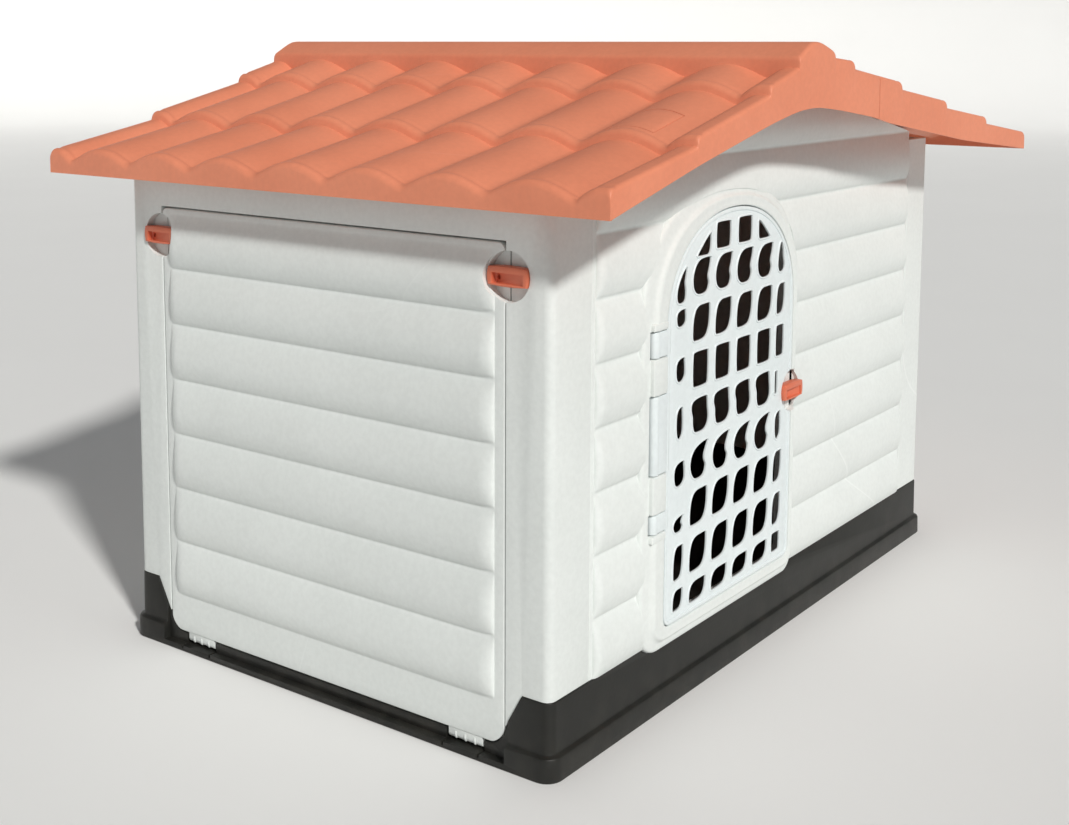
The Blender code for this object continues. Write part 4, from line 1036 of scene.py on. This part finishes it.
TRI_L = [(0.86, 0.98), (0.98, 0.60), (0.90, -0.55), (0.66, -0.96), (0.10, -1.0), (-0.86, -0.98), (-0.95, -0.86), (-0.40, -0.20), (0.25, 0.50)]
TRI_R = [(-0.86, 0.98), (-0.98, 0.60), (-0.94, -0.60), (-0.74, -0.96), (-0.10, -1.0), (0.86, -0.98), (0.96, -0.84), (0.50, -0.30), (-0.20, 0.45)]

HOLES = []
cols_x = (-0.2505, -0.2065, -0.1560, -0.1055, -0.0545, -0.0115)


def hole(pattern, cx, cz, w, h):
    HOLES.append([(WX + cx + u * w / 2, cz + v * h / 2) for u, v in spline(pattern)])


inner = cols_x[1:5]
for k, cx in enumerate(inner):
    hole(BEAN, cx, 0.4800, 0.0400, 0.0405)
    hole(LEAFY, cx, 0.4280, 0.0395, 0.0400)
    hole(ROUND, cx, 0.3755, 0.0360, 0.0400)
    hole(KIDNEY, cx, 0.3228, 0.0395, 0.0395)
    hole(COMMA, cx, 0.2700, 0.0400, 0.0405)
    hole(LEAFY, cx, 0.2172, 0.0400, 0.0400)
    hole(LEAFY, cx, 0.1635, 0.0395, 0.0405)
    hole(LEAFY, cx, 0.1195, 0.0385, 0.0240)
hole(TRI_L, -0.2020, 0.5145, 0.0310, 0.0240)
hole(ROUND, -0.1585, 0.5215, 0.0350, 0.0300)
hole(ROUND, -0.1070, 0.5225, 0.0350, 0.0300)
hole(TRI_R, -0.0595, 0.5185, 0.0300, 0.0230)
hole(TALL_L, -0.2500, 0.4745, 0.0220, 0.0385)
hole(LENS, -0.2505, 0.4385, 0.0210, 0.0185)
hole(LENS, -0.2505, 0.3810, 0.0205, 0.0260)
hole(LENS, -0.2510, 0.3215, 0.0150, 0.0350)
hole(LENS, -0.2500, 0.2640, 0.0240, 0.0270)
hole(COMMA, -0.2500, 0.2070, 0.0230, 0.0180)
hole(LEAFY, -0.2500, 0.1630, 0.0220, 0.0390)
hole(LEAFY, -0.2500, 0.1205, 0.0225, 0.0240)
hole(TALL_R, -0.0125, 0.4790, 0.0185, 0.0360)
hole(LEAFY, -0.0125, 0.4280, 0.0225, 0.0375)
hole(ROUND, -0.0125, 0.3760, 0.0220, 0.0385)
hole(ROUND, -0.0200, 0.3245, 0.0075, 0.0285)
hole(LENS, -0.0135, 0.2700, 0.0160, 0.0340)
hole(LEAFY, -0.0125, 0.2180, 0.0230, 0.0385)
hole(LEAFY, -0.0125, 0.1640, 0.0225, 0.0395)
hole(ROUND, -0.0125, 0.1215, 0.0220, 0.0240)

LEAF = arch(WX + DOOR_CX, DOOR_HALF, DOOR_BOT, DOOR_TOP, DOOR_RISE, (0.011, 0.011), 2.15)
leaf_front, leaf_back = DOOR_FACE, DOOR_FACE + 0.0030
flange_back = DOOR_FACE + DOOR_T
plate = prism("plate", [tuple(p) for p in offset_loop(np.array(LEAF), 0.0006)], leaf_front + 0.0013, leaf_back, 'XZ', scratch, 0.0004)
slots = merge("slots", [prism("s%d" % i, offset_loop(np.array(h), -0.0012), -0.345, -0.300, 'XZ', scratch) for i, h in enumerate(HOLES)])
edge_boxes = [box("de0", (EDGE, -0.36, DLATCH_Z - 0.04), (EDGE + 0.05, -0.28, DLATCH_Z - 0.0072), 0, 1, scratch),
              box("de1", (EDGE, -0.36, DLATCH_Z + 0.0072), (EDGE + 0.05, -0.28, DLATCH_Z + 0.04), 0, 1, scratch),
              box("de2", (DL + 0.0072, -0.36, DLATCH_Z - 0.02), (EDGE + 0.05, -0.28, DLATCH_Z + 0.02), 0, 1, scratch)]
boss = lathe("boss", (DL, DOOR_FACE + 0.0014, DLATCH_Z), (0, 1, 0), [(0, DISH_R + 0.0025), (DISH_D + DISH_FLOOR - 0.0018, DISH_R + 0.0025), (DISH_D + DISH_FLOOR - 0.0014, DISH_R + 0.0020)], 72, scratch)
carve(plate, [boss], 'UNION')
carve(plate, [slots] + edge_boxes)
carve(plate, [door_dish("c"), lathe("dh", (DL, -0.36, DLATCH_Z), (0, 1, 0), [(0, SPINDLE_R + 0.0005), (0.07, SPINDLE_R + 0.0005)], 24, scratch)])
bits = [plate]
for i, h in enumerate(HOLES):
    h = np.array(h)
    # raised bead that lines each hole from front to back
    sec = [(0.0, leaf_back - 0.0006), (0.0, leaf_front + 0.0008), (-0.0003, leaf_front + 0.0002), (-0.0009, leaf_front), (-0.0017, leaf_front + 0.00015),
           (-0.0024, leaf_front + 0.0009), (-0.0024, leaf_back - 0.0002), (-0.0008, leaf_back + 0.0001)]
    loops = [[(p[0], y, p[1]) for p in offset_loop(h, off)] for off, y in sec]
    bits.append(ring_loft("bead%d" % i, loops, scratch))
# rim along the outline of the leaf
L0 = np.array(LEAF)
sec = [(0.0000, leaf_front + 0.0030), (0.0001, leaf_front + 0.0011), (0.0006, leaf_front + 0.0003), (0.0015, leaf_front), (0.0034, leaf_front),
       (0.0042, leaf_front + 0.0003), (0.0046, leaf_front + 0.0012), (0.0046, leaf_front + 0.0024), (0.0032, leaf_front + 0.0030), (0.0030, flange_back - 0.0004), (0.0026, flange_back),
       (0.0005, flange_back), (0.0001, flange_back - 0.0004)]
rim_loops = [[(p[0], y, p[1]) for p in offset_loop(L0, off)] for off, y in sec]
rim = ring_loft("rim", rim_loops, scratch)
carve(rim, [box("rimcut", (EDGE - 0.012, -0.36, DLATCH_Z - DISH_R - 0.0012), (EDGE + 0.05, -0.28, DLATCH_Z + DISH_R + 0.0012), 0, 1, scratch)])
bits.append(rim)
for k, (z0, z1) in enumerate(KNUCKLES):
    x0 = WX + HINGE_X
    e = 0.0010
    kn = lathe("kn%d" % k, (x0, HINGE_Y, z0), (0, 0, 1), [(0, KNUCKLE_R - e), (e * 0.3, KNUCKLE_R - e * 0.3), (e, KNUCKLE_R), (z1 - z0 - e, KNUCKLE_R),
                                                          (z1 - z0 - e * 0.3, KNUCKLE_R - e * 0.3), (z1 - z0, KNUCKLE_R - e)], 48, scratch)
    arm = box("arm%d" % k, (x0, DOOR_FACE + 0.0002, z0 + 0.0001), (WX + DOOR_CX - DOOR_HALF + 0.006, DOOR_FACE + DOOR_T - 0.0002, z1 - 0.0001), 0.0007, 2, scratch)
    carve(kn, [arm], 'UNION')
    carve(kn, [lathe("kb", (x0, HINGE_Y, z0 - 0.01), (0, 0, 1), [(0, 0.0028), (z1 - z0 + 0.02, 0.0028)], 24, scratch)])
    bits.append(kn)
leaf = merge("leaf", bits)
finish_piece(leaf, "door_grille", GRILLE, "door", ["door_leaf"], 36)


# ------------------------------------------------------------------ knobs
def knob(name, centre, out, along, body, node):
    out, along = Vector(out), Vector(along)
    up = out.cross(along)
    M = Matrix((along, up, out)).transposed().to_4x4()
    M.translation = Vector(centre)
    lim = math.asin(KNOB_W / 2 / KNOB_R)
    o = []
    for side in (0.0, math.pi):
        for k in range(15):
            a = side - lim + 2 * lim * k / 14
            o.append((KNOB_R * math.cos(a), KNOB_R * math.sin(a)))
    # eased corners where the round ends meet the straight sides
    o = [(sum(q[0] for q in t) / 3, sum(q[1] for q in t) / 3) if abs(abs(t[1][1]) - KNOB_W / 2) < 0.0012 else t[1]
         for t in zip([o[-1]] + o[:-1], o, o[1:] + [o[0]])]
    top = prism("k", o, 0.0008, KNOB_H, 'XY', scratch, 0.0011)
    # finger scoop: a slanting hollow with a deep end
    hollow = [(-0.0150, 0.0052), (0.0195, 0.0100), (0.0195, 0.03), (-0.0190, 0.03), (-0.0190, 0.0058), (-0.0172, 0.0046)]
    sc = prism("s", hollow, -KNOB_W / 2 + 0.0032, KNOB_W / 2 - 0.0074, 'XZ', scratch)
    carve(top, [sc])
    top = bevelled(top, 0.0006, 2, 35)
    pit = lathe("pit", (-0.0146, -0.0018, 0.0016), (0, 0, 1), [(0, 0.0026), (0.02, 0.0026)], 20, scratch)
    carve(top, [pit])
    sp = lathe("sp", (0, 0, -DISH_FLOOR - 0.0008), (0, 0, 1), [(0, SPINDLE_R - 0.0003), (0.0003, SPINDLE_R), (0.0048, SPINDLE_R)], 32, scratch)
    carve(sp, [lathe("pilot", (0, 0, -0.02), (0, 0, 1), [(0, 0.0016), (0.0238, 0.0016)], 20, scratch)])
    ob = merge(name, [top, sp])
    ob.data.transform(M)
    finish_piece(ob, name, KNOBC, body, [node], 36)


knob("front_latch_knob", (XL + DISH_D, -LATCH_Y, LATCH_Z), (-1, 0, 0), (0, -1, 0), "panel_latch_front", "panel_latch_front_knob")
knob("rear_latch_knob", (XL + DISH_D, LATCH_Y, LATCH_Z), (-1, 0, 0), (0, -1, 0), "panel_latch_rear", "panel_latch_rear_knob")
knob("gate_latch_knob", (DL, DOOR_FACE + DISH_D, DLATCH_Z), (0, -1, 0), (1, 0, 0), "door_latch", "door_latch_knob")

# ------------------------------------------------------------------ carried-over metal pieces
for n, ob in NODES.items():
    if n.startswith("corner_screw") or n.endswith("_washer") or n.endswith("_screw") or n.startswith("panel_hinge_pin") or n == "door_hinge_rod":
        ob.data.materials.clear()
        ob.data.materials.append(ZINC)

bpy.data.collections.remove(scratch)

# ------------------------------------------------------------------ floor, light, camera
def floor_material():
    m = bpy.data.materials.new("studio_floor")
    nt, N, L, b = nodes_of(m)
    tc = N.new("ShaderNodeTexCoord")
    n = N.new("ShaderNodeTexNoise")
    n.inputs["Scale"].default_value = 1.6
    L.new(tc.outputs["Object"], n.inputs["Vector"])
    r = N.new("ShaderNodeValToRGB")
    r.color_ramp.elements[0].color = (0.88, 0.88, 0.87, 1)
    r.color_ramp.elements[1].color = (0.91, 0.91, 0.90, 1)
    L.new(n.outputs["Fac"], r.inputs["Fac"])
    L.new(r.outputs["Color"], b.inputs["Base Color"])
    b.inputs["Roughness"].default_value = 0.9
    return m


def studio_bowl():
    rings, n = [(0.0, 0.0)], 96
    rings += [(r, 0.0) for r in (2.0, 5.0, 9.0, 12.0)]
    rings += [(12.0 + 2.0 * math.sin(a), 2.0 - 2.0 * math.cos(a)) for a in (math.pi / 2 * k / 12 for k in range(1, 13))]
    rings += [(14.0, 4.5)]
    vs, fs = [(0.0, 0.0, 0.0)], []
    for r, z in rings[1:]:
        vs += [(r * math.cos(2 * math.pi * k / n), r * math.sin(2 * math.pi * k / n), z) for k in range(n)]
    for k in range(n):
        fs.append((0, 1 + k, 1 + (k + 1) % n))
    for q in range(len(rings) - 2):
        a, b = 1 + q * n, 1 + (q + 1) * n
        for k in range(n):
            fs.append((a + k, b + k, b + (k + 1) % n, a + (k + 1) % n))
    me = bpy.data.meshes.new("studio_floor")
    me.from_pydata(vs, [], fs)
    me.polygons.foreach_set("use_smooth", [True] * len(fs))
    me.update()
    ob = bpy.data.objects.new("studio_floor", me)
    scene.collection.objects.link(ob)
    return ob


floor = studio_bowl()
floor.name = "studio_floor"
floor.data.materials.append(floor_material())

world = bpy.data.worlds.new("studio")
scene.world = world
world.use_nodes = True
bg = world.node_tree.nodes["Background"]
bg.inputs["Color"].default_value = (0.93, 0.965, 1.0, 1)
bg.inputs["Strength"].default_value = 0.17

sun_dir = Vector((0.370, 0.740, -0.600)).normalized()
key = bpy.data.lights.new("key", 'SUN')
key.energy = 2.65
key.angle = math.radians(5.0)
key.color = (1.0, 0.985, 0.955)
ko = bpy.data.objects.new("key", key)
scene.collection.objects.link(ko)
ko.rotation_euler = sun_dir.to_track_quat('-Z', 'Y').to_euler()

fill = bpy.data.lights.new("fill", 'AREA')
fill.shape = 'DISK'
fill.size = 3.0
fill.energy = 4
fo = bpy.data.objects.new("fill", fill)
scene.collection.objects.link(fo)
fo.location = (-3.2, 1.2, 2.2)
fo.rotation_euler = (Vector((0, 0, 0.35)) - fo.location).to_track_quat('-Z', 'Y').to_euler()

cam = bpy.data.cameras.new("camera")
cam.sensor_width = 36.0
cam.lens = 48.83
cam.shift_x = 0.0098
cam.shift_y = -0.1850
cam.clip_end = 60
co = bpy.data.objects.new("camera", cam)
scene.collection.objects.link(co)
co.location = (-1.6542, -1.1088, 0.7306)
fwd = Vector((0.8016, 0.5927, -0.0792)).normalized()
q = fwd.to_track_quat('-Z', 'Y')
co.rotation_mode = 'XYZ'
co.rotation_euler = (q @ Matrix.Rotation(math.radians(0.19), 3, 'Z').to_quaternion() @ Matrix.Rotation(math.radians(-2.04), 3, 'X').to_quaternion()).to_euler()
scene.camera = co

scene.view_settings.view_transform = 'Standard'
scene.view_settings.exposure = 0.0
